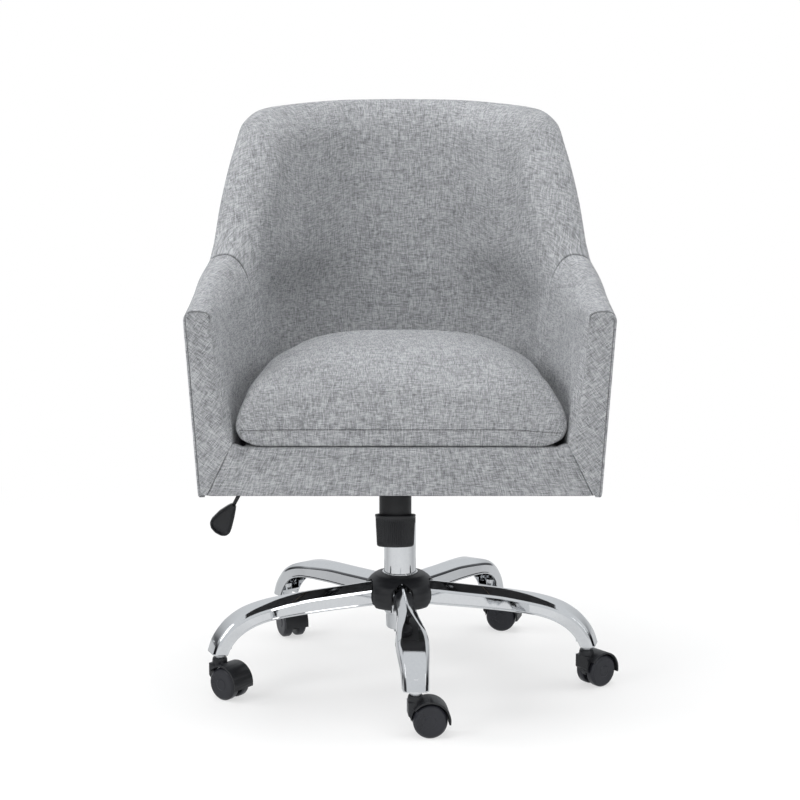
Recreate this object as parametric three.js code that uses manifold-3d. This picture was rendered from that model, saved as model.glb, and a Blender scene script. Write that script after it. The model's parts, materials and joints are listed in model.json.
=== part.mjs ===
// Swivel office chair: an upholstered tub seat on a swivel-and-tilt mechanism,
// a gas lift and a five-legged chromed base on twin-wheel casters.
// Millimetres, +Z up. The chair faces -Y and rests on Z = 0.
import * as THREE from 'three';
import { mergeVertices } from 'three/addons/utils/BufferGeometryUtils.js';
import Module from 'manifold-3d';

const wasm = await Module();
wasm.setup();

// ---------------------------------------------------------------- dimensions
// Column axis, measured from the centre of the chair's footprint.
const COLUMN_X = -17.3;
const COLUMN_Y = -4.9;
const GAP = 0.3;                  // clearance between touching pieces

// Tub shell: plan outline is a straight side that runs into a superellipse.
const TUB_FRONT = -265;           // front faces of arms and front rail
const TUB_CURVE_Y = -100;         // where the sides start to curve in
const TUB_POWER = 2.3;
const TUB_HALF_BOTTOM = 289;      // half width at the lower edge
const TUB_HALF_ARM = 306;         // half width at arm height
const TUB_BOTTOM = 345;
const ARM_Z = 600;
const BACK_Y_BOTTOM = 250;        // rear of the shell at the lower edge
const BACK_LEAN = 0.143;          // rear face, mm back per mm up
const SHELL_T = 6;
const FRAME_IN = 7.2, FRAME_OUT = 19.2;
const PAD_IN = 21.2;

// Crown line of the tub, [y of the shell on the reference outline, height].
const CROWN = [[-265, 613.5], [-180, 623.5], [-100, 636], [-20, 651.5], [30, 662], [60, 689], [100, 764], [140, 832], [165, 868], [200, 885], [240, 890], [306, 897], [317, 898]];
// Thickness of the upholstery over the same outline.
const THICK = [[-265, 42], [-100, 54], [30, 67], [75, 71], [120, 64], [165, 60], [230, 68], [317, 75]];
// Height of the rounded shoulder between the outer seam and the crown.
const DROP = [[-265, 18.5], [-180, 20.5], [-100, 22], [-20, 20], [30, 14.5], [75, 12], [140, 13], [317, 13]];

// Seat.
const PLY_Z0 = 345.3, PLY_Z1 = 360.3;
const DECK_Z0 = 361, DECK_Z1 = 415;
const CUSHION_Z0 = 416.2, CUSHION_SEAM = 441, CUSHION_TOP = 533;

// Column and gas lift.
const COLUMN_R = 25, COLUMN_TOP = 246, COLUMN_BOTTOM = 76;
const PISTON_R = 14, PISTON_TOP = 320;

// Base star.
const STAR_TURN = 4.3;            // turn of the star about the column, degrees
const LEG_COUNT = 5;
const STEM_RADIUS = 298;
const HUB_R = 29;

// Casters.
const WHEEL_R = 25, WHEEL_W0 = 4.8, WHEEL_W1 = 19.6;
const CASTER_TRAIL = 20;
const CASTER_YAW = [5, 38, -15, -66, -38];   // direction each caster trails, degrees from +X

// Tilt mechanism.
const PIVOT_Y = -35, PIVOT_Z = 322;
const HOUSING_HALF = 45;
const KNOB_X = -7, KNOB_Y = -120, KNOB_Z = 261, KNOB_LEAN = 8.5;

// ------------------------------------------------------------------- helpers
const rad = (d) => d * Math.PI / 180;

function clean(geo) {
  let g = geo.index ? geo.toNonIndexed() : geo.clone();
  for (const k of Object.keys(g.attributes)) if (k !== 'position') g.deleteAttribute(k);
  return mergeVertices(g, 1e-4);
}

function toSolid(geo) {
  const g = clean(geo);
  const m = new wasm.Mesh({
    numProp: 3,
    vertProperties: new Float32Array(g.attributes.position.array),
    triVerts: new Uint32Array(g.index.array),
  });
  const s = new wasm.Manifold(m);
  return s;
}

function toGeometry(solid) {
  const m = solid.getMesh();
  const g = new THREE.BufferGeometry();
  const p = new Float32Array(m.numVert * 3);
  for (let i = 0; i < m.numVert; i++) {
    for (let k = 0; k < 3; k++) p[i * 3 + k] = m.vertProperties[i * m.numProp + k];
  }
  g.setAttribute('position', new THREE.BufferAttribute(p, 3));
  g.setIndex(new THREE.BufferAttribute(new Uint32Array(m.triVerts), 1));
  g.computeVertexNormals();
  return g;
}

const moved = (geo, x, y, z) => { const g = geo.clone(); g.translate(x, y, z); return g; };

function signedVolume(pos, idx) {
  let v = 0;
  for (let i = 0; i < idx.length; i += 3) {
    const a = pos[idx[i]], b = pos[idx[i + 1]], c = pos[idx[i + 2]];
    v += a[0] * (b[1] * c[2] - b[2] * c[1]) - a[1] * (b[0] * c[2] - b[2] * c[0]) + a[2] * (b[0] * c[1] - b[1] * c[0]);
  }
  return v / 6;
}

// Ear clipping that keeps points lying on a straight edge. Triangles run the
// same way round as the polygon.
function earClip(pts) {
  const area2 = (a, b, c) => (b[0] - a[0]) * (c[1] - a[1]) - (b[1] - a[1]) * (c[0] - a[0]);
  let total = 0;
  for (let i = 0; i < pts.length; i++) { const a = pts[i], b = pts[(i + 1) % pts.length]; total += a[0] * b[1] - b[0] * a[1]; }
  const sg = Math.sign(total), left = pts.map((_, i) => i), out = [];
  while (left.length > 3) {
    let best = -1, score = -1;
    const m = left.length;
    for (let i = 0; i < m; i++) {
      const ia = left[(i + m - 1) % m], ib = left[i], ic = left[(i + 1) % m];
      const A = pts[ia], B = pts[ib], C = pts[ic], ar = area2(A, B, C) * sg;
      if (ar <= 1e-7) continue;
      let inside = false;
      for (const k of left) {
        if (k === ia || k === ib || k === ic) continue;
        const P = pts[k];
        if (area2(A, B, P) * sg >= -1e-9 && area2(B, C, P) * sg >= -1e-9 && area2(C, A, P) * sg >= -1e-9) { inside = true; break; }
      }
      if (inside) continue;
      const l = Math.max(Math.hypot(A[0] - B[0], A[1] - B[1]), Math.hypot(B[0] - C[0], B[1] - C[1]), Math.hypot(C[0] - A[0], C[1] - A[1]));
      const q = ar / (l * l);
      if (q > score) { score = q; best = i; }
    }
    if (best < 0) throw new Error('section has no ear');
    const i = best;
    out.push([left[(i + m - 1) % m], left[i], left[(i + 1) % m]]);
    left.splice(i, 1);
  }
  out.push([left[0], left[1], left[2]]);
  return out;
}

// Closed loft: rings of [x,y,z]; flats are the same rings in 2-D for the end caps.
function loft(rings, flats) {
  const n = rings[0].length, pos = [], idx = [];
  for (const r of rings) for (const p of r) pos.push(p);
  for (let i = 0; i < rings.length - 1; i++) {
    for (let j = 0; j < n; j++) {
      const a = i * n + j, b = i * n + (j + 1) % n, c = a + n, d = b + n;
      idx.push(a, b, d, a, d, c);
    }
  }
  const last = (rings.length - 1) * n;
  for (const [a, b, c] of earClip(flats[0])) idx.push(a, c, b);
  for (const [a, b, c] of earClip(flats[rings.length - 1])) idx.push(last + a, last + b, last + c);
  if (signedVolume(pos, idx) < 0) for (let i = 0; i < idx.length; i += 3) [idx[i + 1], idx[i + 2]] = [idx[i + 2], idx[i + 1]];
  const g = new THREE.BufferGeometry();
  g.setAttribute('position', new THREE.BufferAttribute(new Float32Array(pos.flat()), 3));
  g.setIndex(idx);
  g.computeVertexNormals();
  return g;
}

// Solid of revolution about Z from [r, z] points that start and end on the
// axis, or close on themselves when ring is true.
function turned(points, segments, ring = false) {
  const pts = points.map((p) => new THREE.Vector2(p[0], p[1]));
  if (ring) pts.push(pts[0].clone());
  let g = new THREE.LatheGeometry(pts, segments);
  g.rotateX(Math.PI / 2);
  g = clean(g);
  const p = [], a = g.attributes.position;
  for (let i = 0; i < a.count; i++) p.push([a.getX(i), a.getY(i), a.getZ(i)]);
  let idx = Array.from(g.index.array);
  const out = [];
  for (let i = 0; i < idx.length; i += 3) {
    const [u, v, w] = [idx[i], idx[i + 1], idx[i + 2]];
    if (u !== v && v !== w && u !== w) out.push(u, v, w);
  }
  idx = out;
  if (signedVolume(p, idx) < 0) for (let i = 0; i < idx.length; i += 3) [idx[i + 1], idx[i + 2]] = [idx[i + 2], idx[i + 1]];
  g.setIndex(idx);
  g.computeVertexNormals();
  return g;
}

function box(x0, x1, y0, y1, z0, z1) {
  const g = new THREE.BoxGeometry(x1 - x0, y1 - y0, z1 - z0);
  g.translate((x0 + x1) / 2, (y0 + y1) / 2, (z0 + z1) / 2);
  return g;
}

function extruded(points, depth) {
  const s = new THREE.Shape(points.map((p) => new THREE.Vector2(p[0], p[1])));
  return new THREE.ExtrudeGeometry(s, { depth, bevelEnabled: false, steps: 1 });
}

function curve1d(table) {
  // Monotone cubic through [x, y] pairs.
  const n = table.length, d = [], m = [];
  for (let i = 0; i < n - 1; i++) d.push((table[i + 1][1] - table[i][1]) / (table[i + 1][0] - table[i][0]));
  m.push(d[0]);
  for (let i = 1; i < n - 1; i++) m.push(d[i - 1] * d[i] <= 0 ? 0 : 2 * d[i - 1] * d[i] / (d[i - 1] + d[i]));
  m.push(d[n - 2]);
  return (x) => {
    if (x <= table[0][0]) return table[0][1];
    if (x >= table[n - 1][0]) return table[n - 1][1];
    let i = 0;
    while (x > table[i + 1][0]) i++;
    const h = table[i + 1][0] - table[i][0], t = (x - table[i][0]) / h;
    const t2 = t * t, t3 = t2 * t;
    return (2 * t3 - 3 * t2 + 1) * table[i][1] + (t3 - 2 * t2 + t) * h * m[i] + (3 * t2 - 2 * t3) * table[i + 1][1] + (t3 - t2) * h * m[i + 1];
  };
}

const material = (hex, roughness, metalness) => new THREE.MeshStandardMaterial({ color: hex, roughness, metalness });
const FABRIC = () => material(0xa9abaf, 0.95, 0);
const FABRIC_DARK = () => material(0x9b9da1, 0.95, 0);
const CHROME = () => material(0xe6e8ea, 0.06, 1);
const BLACK = () => material(0x1b1c1e, 0.5, 0);
const STEEL = () => material(0x2a2b2d, 0.45, 0.6);
const ZINC = () => material(0xa8abad, 0.35, 1);
const WOOD = () => material(0xb58d5c, 0.7, 0);

const chair = new THREE.Group();
const frame = new THREE.Group();
frame.position.set(COLUMN_X, COLUMN_Y, 0);
chair.add(frame);

function add(name, geo, mat, parent = frame) {
  const mesh = new THREE.Mesh(geo, mat);
  mesh.name = name;
  parent.add(mesh);
  return mesh;
}

// ------------------------------------------------------------ tub plan shape
const halfWidth = (z) => z < ARM_Z ? TUB_HALF_BOTTOM + (TUB_HALF_ARM - TUB_HALF_BOTTOM) * (z - TUB_BOTTOM) / (ARM_Z - TUB_BOTTOM) : TUB_HALF_ARM + Math.min(1, (z - ARM_Z) / 100);
const backY = (z) => BACK_Y_BOTTOM + BACK_LEAN * (z - TUB_BOTTOM);

// Left half of the outline at height z for u from 0 (arm front) to 1 (middle
// of the back). The split between straight side and curve is fixed in u.
const U_STRAIGHT = 0.235;
const CURVE_TABLE = (() => {
  // Even spacing along the curved part, worked out once at arm height.
  const a = TUB_HALF_ARM, b = backY(650) - TUB_CURVE_Y, N = 400, t = [0], L = [0];
  let px = -a, py = 0;
  for (let i = 1; i <= N; i++) {
    const th = (Math.PI / 2) * i / N;
    const x = -a * Math.pow(Math.cos(th), 2 / TUB_POWER), y = b * Math.pow(Math.sin(th), 2 / TUB_POWER);
    L.push(L[i - 1] + Math.hypot(x - px, y - py)); t.push(th); px = x; py = y;
  }
  return (v) => {
    const s = v * L[N];
    if (v >= 1) return Math.PI / 2;
    let i = 0;
    while (L[i + 1] < s) i++;
    return t[i] + (t[i + 1] - t[i]) * (s - L[i]) / (L[i + 1] - L[i]);
  };
})();

function outline(u, z) {
  const a = halfWidth(z), b = backY(z) - TUB_CURVE_Y;
  if (u <= U_STRAIGHT) return [-a, TUB_FRONT + (TUB_CURVE_Y - TUB_FRONT) * u / U_STRAIGHT];
  const th = CURVE_TABLE((u - U_STRAIGHT) / (1 - U_STRAIGHT));
  return [-a * Math.pow(Math.max(0, Math.cos(th)), 2 / TUB_POWER), TUB_CURVE_Y + b * Math.pow(Math.max(0, Math.sin(th)), 2 / TUB_POWER)];
}

function inward(u, z) {
  const e = 1e-3, p = outline(Math.max(0, u - e), z);
  let q = outline(Math.min(1, u + e), z);
  if (u >= 1 - e) q = [-p[0], p[1]];
  const dx = q[0] - p[0], dy = q[1] - p[1], l = Math.hypot(dx, dy);
  return [dy / l, -dx / l];
}

// Point at depth n inside the shell face, side -1 is the left half.
function tub(u, z, n, side) {
  const p = outline(u, z), k = inward(u, z);
  const x = p[0] + k[0] * n, y = p[1] + k[1] * n;
  return [side < 0 ? Math.min(x, 0) : -Math.min(x, 0), y, z];
}

const Y_REF = 650;
const uAtY = (y) => {
  let lo = 0, hi = 1;
  for (let i = 0; i < 40; i++) { const m = (lo + hi) / 2; if (outline(m, Y_REF)[1] < y) lo = m; else hi = m; }
  return (lo + hi) / 2;
};
const REF_BACK = backY(Y_REF);
const tableU = (table) => {
  const top = table[table.length - 1][0];
  return curve1d(table.map(([y, v]) => [y >= top ? 1 : uAtY(TUB_FRONT + (y - TUB_FRONT) * (REF_BACK - TUB_FRONT) / (top - TUB_FRONT)), v]));
};
const crown = tableU(CROWN);
const thick = tableU(THICK);
const crownSlope = (u) => {
  const e = 0.004, a = Math.max(0, u - e), b = Math.min(1, u + e);
  const p = outline(a, Y_REF), q = outline(b, Y_REF);
  return (crown(b) - crown(a)) / Math.max(1, Math.hypot(q[0] - p[0], q[1] - p[1]));
};
// Stuffing that rounds off the inside corners between the sides and the back,
// above the cushion.
const CORNER = [[-265, 0], [40, 0], [100, 10], [160, 24], [210, 28], [255, 22], [290, 12], [308, 4], [317, 0]];
const corner = tableU(CORNER);
const ease = (t) => { const k = Math.min(1, Math.max(0, t)); return k * k * (3 - 2 * k); };
const padT = (u, z) => thick(u) + (z < ARM_Z ? (ARM_Z - z) * 0.072 : -(z - ARM_Z) * 0.045) + corner(u) * ease((z - 560) / 120);
const drop = tableU(DROP);
const seamDrop = (u) => { const s = crownSlope(u); return drop(u) * Math.min(1.9, Math.sqrt(1 + s * s)); };
const seamZ = (u) => crown(u) - seamDrop(u);

// Where the arm upholstery meets the back upholstery.
const U_JOIN = uAtY(36);

// Stations shared by every piece that follows the shell, so that their faces
// stay parallel.
const U_SHELL = U_STRAIGHT * 16.5 / 165;
const ARM_STATIONS = [], BACK_STATIONS = [];
for (let i = 0; i <= 6; i++) ARM_STATIONS.push(U_SHELL + (U_JOIN - U_SHELL) * i / 6);
for (let i = 0; i <= 12; i++) BACK_STATIONS.push(U_JOIN + (1 - U_JOIN) * (0.82 * i / 12 + 0.18 * (i / 12) ** 2));

// Section of the upholstery at station u, as [depth, height] pairs.
function padSection(u, shift = 0) {
  const C = crown(u), S = seamZ(u), T0 = thick(u) + (Math.min(C, 640) < ARM_Z ? 0 : -(Math.min(C, 640) - ARM_Z) * 0.045), s = crownSlope(u);
  const nc = T0 * (0.36 + 0.1 * Math.min(1, u / 0.5));
  const inner = Math.min(66, T0 * (0.42 + 0.16 * Math.min(1, u / 0.6)) * Math.min(1.7, Math.sqrt(1 + s * s)));
  // The roll over the crown runs straight on into the inner face.
  const T = padT(u, C - inner);
  const pts = [[0.4, S + 0.9]];
  for (const q of [30, 60]) pts.push([nc * (1 - Math.cos(rad(q))), S + (C - S) * Math.sin(rad(q))]);
  pts.push([nc, C]);
  for (const q of [35, 65]) pts.push([nc + (T - nc) * Math.sin(rad(q)), C - inner * (1 - Math.cos(rad(q)))]);
  const z0 = C - inner;
  for (const f of [0, 0.5, 1]) {
    const z = z0 + (361 - z0) * f;
    pts.push([padT(u, z), z]);
  }
  pts.push([PAD_IN, 361], [PAD_IN, S + 0.9]);
  return pts;
}

const ringAt = (u, pts, side) => pts.map(([n, z]) => tub(u, z, n, side));

// -------------------------------------------------------------- base and hub
add('hub_core', turned([[25.4, 117], [HUB_R, 117], [HUB_R, 152], [25.4, 152]], 24, true), STEEL());

// One leg in its own frame: it runs out along +X from the hub.
const LEG_STATIONS = [
  // top [r, z], lower edge [r, z], half width at the rim, half width of the top facet, fall of the shoulders
  [[29.6, 156], [29.6, 120], 15, 1.8, 10],
  [[110, 152], [110, 118.8], 15.2, 1.8, 10],
  [[158, 149.9], [156, 117.8], 16.6, 2.2, 9.5],
  [[200, 145.2], [193, 117], 20.4, 7.5, 8.5],
  [[232, 138.6], [220, 115.4], 23.3, 14, 6.5],
  [[258, 130], [242, 110.8], 23.9, 16.6, 5],
  [[280, 117.5], [260, 103], 22.6, 16.4, 4.2],
  [[296, 102.5], [274, 92.5], 20.6, 15, 3.4],
  [[307, 86.5], [284, 80.5], 19.5, 14, 3],
  [[313.5, 68], [291, 67], 19, 13.4, 2.6],
];
const LEG_WALL = 2.6;

function legSection([top, low, w, f, fall]) {
  // Frame of the section: up runs from the lower edge to the top.
  const ux = top[0] - low[0], uz = top[1] - low[1], h = Math.hypot(ux, uz), e = [ux / h, uz / h];
  const t = LEG_WALL;
  const outer = [[-w, 0], [-w, h - fall - 4], [-w + 1.8, h - fall], [-f, h - 0.2], [f, h - 0.2], [w - 1.8, h - fall], [w, h - fall - 4], [w, 0]];
  const inner = [[w - t, 0], [w - t, h - fall - 5], [w - t - 1.4, h - fall - 2], [Math.max(0.8, f - 1), h - t - 0.2], [-Math.max(0.8, f - 1), h - t - 0.2], [-w + t + 1.4, h - fall - 2], [-w + t, h - fall - 5], [-w + t, 0]];
  const flat = outer.concat(inner);
  return { flat, ring: flat.map(([y, v]) => [low[0] + e[0] * v, y, low[1] + e[1] * v]) };
}

function legGeometry() {
  const secs = LEG_STATIONS.map(legSection);
  const channel = toSolid(loft(secs.map((s) => s.ring), secs.map((s) => s.flat)));
  const tube = toSolid(moved(turned([[5.95, 63.5], [9.6, 63.5], [9.6, 87], [5.95, 87]], 12, true), STEM_RADIUS, 0, 0));
  const plate = toSolid(box(282, 305, -17.4, 17.4, 76, 79)).subtract(toSolid(moved(turned([[0, 60], [7.7, 60], [7.7, 95], [0, 95]], 12), STEM_RADIUS, 0, 0)));
  return toGeometry(channel.add(tube).add(plate));
}
const LEG = legGeometry();
const legAngle = (k) => rad(-90 + STAR_TURN + 72 * k);
for (let k = 0; k < LEG_COUNT; k++) {
  const leg = add(`leg_${k + 1}`, LEG, CHROME());
  leg.rotation.z = legAngle(k);
}

// Hub cover with an arch for every leg.
function hubCover() {
  let s = toSolid(turned([[28.2, 166], [39.5, 163.4], [46.5, 158], [52.5, 150.5], [56.4, 141], [56.4, 129], [53.6, 119.5], [50.4, 115.2], [47.6, 115.2], [50.8, 120.5], [53.6, 130], [53.6, 140], [50, 149], [44.6, 155.4], [38.4, 160.2], [28.2, 163.2]], 30, true));
  for (let k = 0; k < LEG_COUNT; k++) {
    const arch = extruded([[-16.6, 90], [16.6, 90], [16.6, 142.5], [14.8, 147.8], [3.2, 157.2], [-3.2, 157.2], [-14.8, 147.8], [-16.6, 142.5]], 44);
    arch.rotateX(Math.PI / 2);          // profile now in XZ, depth along -Y
    arch.rotateZ(Math.PI / 2);          // depth along +X
    arch.translate(24, 0, 0);
    arch.rotateZ(legAngle(k));
    s = s.subtract(toSolid(arch));
  }
  return toGeometry(s);
}
add('hub_cover', hubCover(), BLACK());
add('hub_ring', turned([[25.4, 160.6], [27.9, 160.6], [27.9, 167.2], [25.4, 167.6]], 24, true), CHROME());

add('column_tube', turned([[6.4, COLUMN_BOTTOM], [20.4, COLUMN_BOTTOM], [21.8, 79], [22.4, 99], [COLUMN_R, 103], [COLUMN_R, COLUMN_TOP], [22.6, COLUMN_TOP], [22.6, 112], [19.6, 108], [19.4, 82], [6.4, 82]], 24, true), CHROME());
add('guide_bushing', turned([[14.4, 196], [22.2, 196], [22.2, COLUMN_TOP + GAP], [24.6, COLUMN_TOP + GAP], [24.6, 253.5], [22.5, 256], [14.4, 256]], 24, true), BLACK());
add('gas_rod', turned([[0, 69], [9.5, 69], [9.5, 73.5], [5, 73.5], [5, 188.5], [8.2, 188.5], [8.2, 196], [0, 196]], 16), ZINC());

// ------------------------------------------------------------------- casters
function casterHousing() {
  // Side profile in local X (trail) and Z, thickness along Y.
  const ax = CASTER_TRAIL, az = WHEEL_R;
  const web = [[-9.5, 54]];
  web.push([-9.5, 30], [-4, 20]);
  for (let d = 215; d <= 350; d += 45) web.push([ax + 15 * Math.cos(rad(d)), az + 15 * Math.sin(rad(d))]);
  for (let d = 0; d <= 110; d += 36) web.push([ax + 28 * Math.cos(rad(d)), az + 28 * Math.sin(rad(d))]);
  web.push([6, 54.5]);
  const slab = (pts, half) => {
    const g = extruded(pts, half * 2);
    g.rotateX(Math.PI / 2);
    g.translate(0, half, 0);
    return toSolid(g);
  };
  let s = slab(web, 4.2);
  const hood = [];
  for (let d = -10; d <= 142; d += 25.3333) hood.push([ax + 30 * Math.cos(rad(d)), az + 30 * Math.sin(rad(d))]);
  const inner = [];
  for (let d = 142; d >= -10.1; d -= 25.3333) inner.push([ax + 27.4 * Math.cos(rad(d)), az + 27.4 * Math.sin(rad(d))]);
  s = s.add(slab(hood.concat(inner), 20));
  // Closed block on the stem side, under the collar.
  const block = slab([[-11.5, 33], [-7.6, 28.5], [-7.6, 25], [-6.2, 24]].concat([[ax + 27.4 * Math.cos(rad(168)), az + 27.4 * Math.sin(rad(168))], [ax + 27.4 * Math.cos(rad(142)), az + 27.4 * Math.sin(rad(142))], [ax + 30 * Math.cos(rad(132)), az + 30 * Math.sin(rad(132))], [-1, 52], [-11.5, 52]]), 12);
  s = s.add(block);
  s = s.add(toSolid(turned([[0, 44], [11.5, 44], [11.5, 57], [10.5, 60.5], [0, 60.5]], 14)));
  // Room for the wheels, bore for the axle and for the stem.
  for (const sy of [-1, 1]) {
    const w = turned([[0, 0], [27.1, 0], [27.1, 20], [0, 20]], 20);
    w.rotateX(-Math.PI / 2 * sy);
    w.translate(ax, sy * 4.4, az);
    s = s.subtract(toSolid(w));
  }
  const axle = turned([[0, -30], [4.35, -30], [4.35, 30], [0, 30]], 10);
  axle.rotateX(Math.PI / 2);
  axle.translate(ax, 0, az);
  s = s.subtract(toSolid(axle));
  s = s.subtract(toSolid(turned([[0, 40.5], [5.95, 40.5], [5.95, 70], [0, 70]], 10)));
  return toGeometry(s);
}
const HOUSING = casterHousing();
const STEM = turned([[0, 41], [5.4, 41], [5.4, 60.8], [7.5, 60.8], [7.5, 63], [5.4, 63], [5.4, 80], [4.4, 82.5], [0, 82.5]], 10);
const AXLE = (() => { const g = turned([[0, -16.6], [3.9, -16.6], [3.9, 16.6], [0, 16.6]], 10); g.rotateX(Math.PI / 2); return g; })();
const WHEEL = (() => {
  const g = turned([[0, 20], [21.5, 19.3], [WHEEL_R, 15.6], [WHEEL_R, 7], [23.6, WHEEL_W0], [4.35, WHEEL_W0], [4.35, 17], [0, 17]], 20);
  g.rotateX(-Math.PI / 2);
  return g;
})();
const WHEEL_MIRROR = (() => { const g = WHEEL.clone(); g.rotateZ(Math.PI); return g; })();

for (let k = 0; k < LEG_COUNT; k++) {
  const a = legAngle(k), caster = new THREE.Group();
  caster.position.set(STEM_RADIUS * Math.cos(a), STEM_RADIUS * Math.sin(a), 0);
  caster.rotation.z = rad(CASTER_YAW[k]);
  frame.add(caster);
  add(`caster_${k + 1}_housing`, HOUSING, BLACK(), caster);
  add(`caster_${k + 1}_stem`, STEM, ZINC(), caster);
  add(`caster_${k + 1}_axle`, AXLE, ZINC(), caster).position.set(CASTER_TRAIL, 0, WHEEL_R);
  add(`caster_${k + 1}_wheel_a`, WHEEL, BLACK(), caster).position.set(CASTER_TRAIL, 0, WHEEL_R);
  add(`caster_${k + 1}_wheel_b`, WHEEL_MIRROR, BLACK(), caster).position.set(CASTER_TRAIL, 0, WHEEL_R);
}

// ------------------------------------------------------------------ gas lift
add('gas_cylinder', turned([[5.6, 128], [PISTON_R, 128], [PISTON_R, 298], [13.4, PISTON_TOP], [3.7, PISTON_TOP], [3.7, 305], [9, 300], [9, 134], [5.6, 134]], 16, true), BLACK());
add('valve_pin', turned([[0, 308], [3.3, 308], [3.3, 324.5], [0, 324.5]], 12), ZINC());

// ---------------------------------------------------------- tilt mechanism
const upX = [0, Math.sin(rad(KNOB_LEAN)), Math.cos(rad(KNOB_LEAN))];
// Places a part turned about Z onto the leaning tension axis.
function onTensionAxis(geo) {
  const g = geo.clone();
  g.rotateX(-rad(KNOB_LEAN));
  g.translate(KNOB_X, KNOB_Y, KNOB_Z);
  return g;
}
function mechanism() {
  const prism = (pts, half) => { // points are [y, z]
    const g = extruded(pts, half * 2);
    g.rotateY(Math.PI / 2);
    g.rotateX(Math.PI / 2);
    g.translate(-half, 0, 0);
    return toSolid(g);
  };
  const outer = prism([[-152, 323.4], [64, 291], [64, 310], [20, 320.5], [-20, 337], [-152, 337]], HOUSING_HALF);
  const inner = prism([[-149.2, 326.2], [61.2, 294.3], [61.2, 345], [-149.2, 345]], HOUSING_HALF - 2.8);
  let s = outer.subtract(inner);
  s = s.add(toSolid(turned([[0, 296], [20.5, 296], [20.5, 318], [0, 318]], 24)));
  s = s.subtract(toSolid(turned([[0, 280], [14.5, 280], [14.5, 330], [0, 330]], 24)));
  s = s.add(toSolid(onTensionAxis(turned([[21.6, 5], [24.3, 5], [24.3, 60.5], [21.6, 60.5]], 28, true))));
  s = s.subtract(toSolid(onTensionAxis(turned([[0, 20], [7, 20], [7, 75], [0, 75]], 16))));
  // Trim whatever the cup leaves above the floor inside the box.
  s = s.subtract(inner.intersect(prism([[-160, 326.2 + 0.01], [-70, 313.2], [-70, 345], [-160, 345]], HOUSING_HALF - 2.8)));
  const hole = turned([[0, -60], [6.4, -60], [6.4, 60], [0, 60]], 16);
  hole.rotateY(Math.PI / 2);
  hole.translate(0, PIVOT_Y, PIVOT_Z);
  s = s.subtract(toSolid(hole));
  // Slot for the lever in the left wall.
  s = s.subtract(toSolid(box(-50, -38, -3, 15, 309.5, 321)));
  return toGeometry(s);
}
add('mechanism_housing', mechanism(), STEEL());
add('pivot_shaft', (() => { const g = turned([[0, -55], [6, -55], [6, 55], [0, 55]], 16); g.rotateY(Math.PI / 2); g.translate(0, PIVOT_Y, PIVOT_Z); return g; })(), ZINC());

function spring() {
  const turns = 5, r = 16.5, z0 = -13.6, z1 = 50, wire = 2, pts = [];
  for (let i = 0; i <= turns * 8; i++) { const a = i / 8 * 2 * Math.PI; pts.push(new THREE.Vector3(r * Math.cos(a), r * Math.sin(a), z0 + wire + (z1 - z0 - 2 * wire) * i / (turns * 8))); }
  const path = new THREE.CatmullRomCurve3(pts);
  const sec = new THREE.Shape();
  for (let i = 0; i < 6; i++) { const a = i * Math.PI / 3; const x = wire * Math.cos(a), y = wire * Math.sin(a); if (i) sec.lineTo(x, y); else sec.moveTo(x, y); }
  const g = new THREE.ExtrudeGeometry(sec, { steps: turns * 8, extrudePath: path, bevelEnabled: false });
  return onTensionAxis(toGeometry(toSolid(g)));
}
add('tension_spring', spring(), ZINC());
add('tension_bolt', onTensionAxis(turned([[0, -18], [5, -18], [5, 87], [9.5, 87], [9.5, 91], [0, 91]], 16)), ZINC());

function knob() {
  let s = toSolid(turned([[5.4, -24], [27.2, -24], [28.6, -22.5], [30.4, 20.5], [30.6, 24], [26.6, 24], [26.2, -16], [5.4, -16]], 30, true));
  return onTensionAxis(toGeometry(s));
}
add('tension_knob', knob(), BLACK());

// Lever: a rod out of the left wall, bent down, with a moulded paddle.
function rodAlong(points, r, sides) {
  const sec = new THREE.Shape();
  for (let i = 0; i < sides; i++) { const a = 2 * Math.PI * (i + 0.5) / sides; const x = r * Math.cos(a), y = r * Math.sin(a); if (i) sec.lineTo(x, y); else sec.moveTo(x, y); }
  const path = new THREE.CurvePath();
  const v = points.map((p) => new THREE.Vector3(...p));
  return new THREE.ExtrudeGeometry(sec, { steps: (v.length - 1) * 1, extrudePath: new THREE.CatmullRomCurve3(v, false, 'chordal'), bevelEnabled: false });
}
function bentPath() {
  const p = [];
  for (const x of [-23, -120, -229]) p.push([x, 6, 315]);
  const c = [-230, 301], R = 14;
  for (const d of [106, 122, 138, 152]) p.push([c[0] + R * Math.cos(rad(d)), 6, c[1] + R * Math.sin(rad(d))]);
  const e = p[p.length - 1];
  for (const t of [22, 46]) p.push([e[0] - t * Math.cos(rad(62)), 6, e[2] - t * Math.sin(rad(62))]);
  return p;
}
const ROD = bentPath();
function leverRod() {
  // Solid rod with a flattened tongue that reaches over the valve pin.
  const n = 8, r = 3, rings = [];
  const pts = ROD.map((p) => new THREE.Vector3(...p));
  for (let i = 0; i < pts.length; i++) {
    const t = new THREE.Vector3().subVectors(pts[Math.min(i + 1, pts.length - 1)], pts[Math.max(0, i - 1)]).normalize();
    const yv = new THREE.Vector3(0, 1, 0), nv = new THREE.Vector3().crossVectors(t, yv).normalize();
    const ring = [];
    for (let j = 0; j < n; j++) {
      const a = 2 * Math.PI * j / n;
      ring.push([pts[i].x + r * (Math.cos(a) * yv.x + Math.sin(a) * nv.x), pts[i].y + r * Math.cos(a), pts[i].z + r * Math.sin(a) * nv.z]);
    }
    rings.push(ring);
  }
  const flat = []; for (let j = 0; j < n; j++) { const a = 2 * Math.PI * j / n; flat.push([r * Math.cos(a), r * Math.sin(a)]); }
  let s = toSolid(loft(rings, rings.map(() => flat)));
  const up = toSolid(box(-27, -22, 3.4, 8.6, 313, 328.3));
  const tongue = toSolid(box(-27, 6, -5, 8.6, 325.2, 328.3));
  return toGeometry(s.add(up).add(tongue));
}
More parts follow.
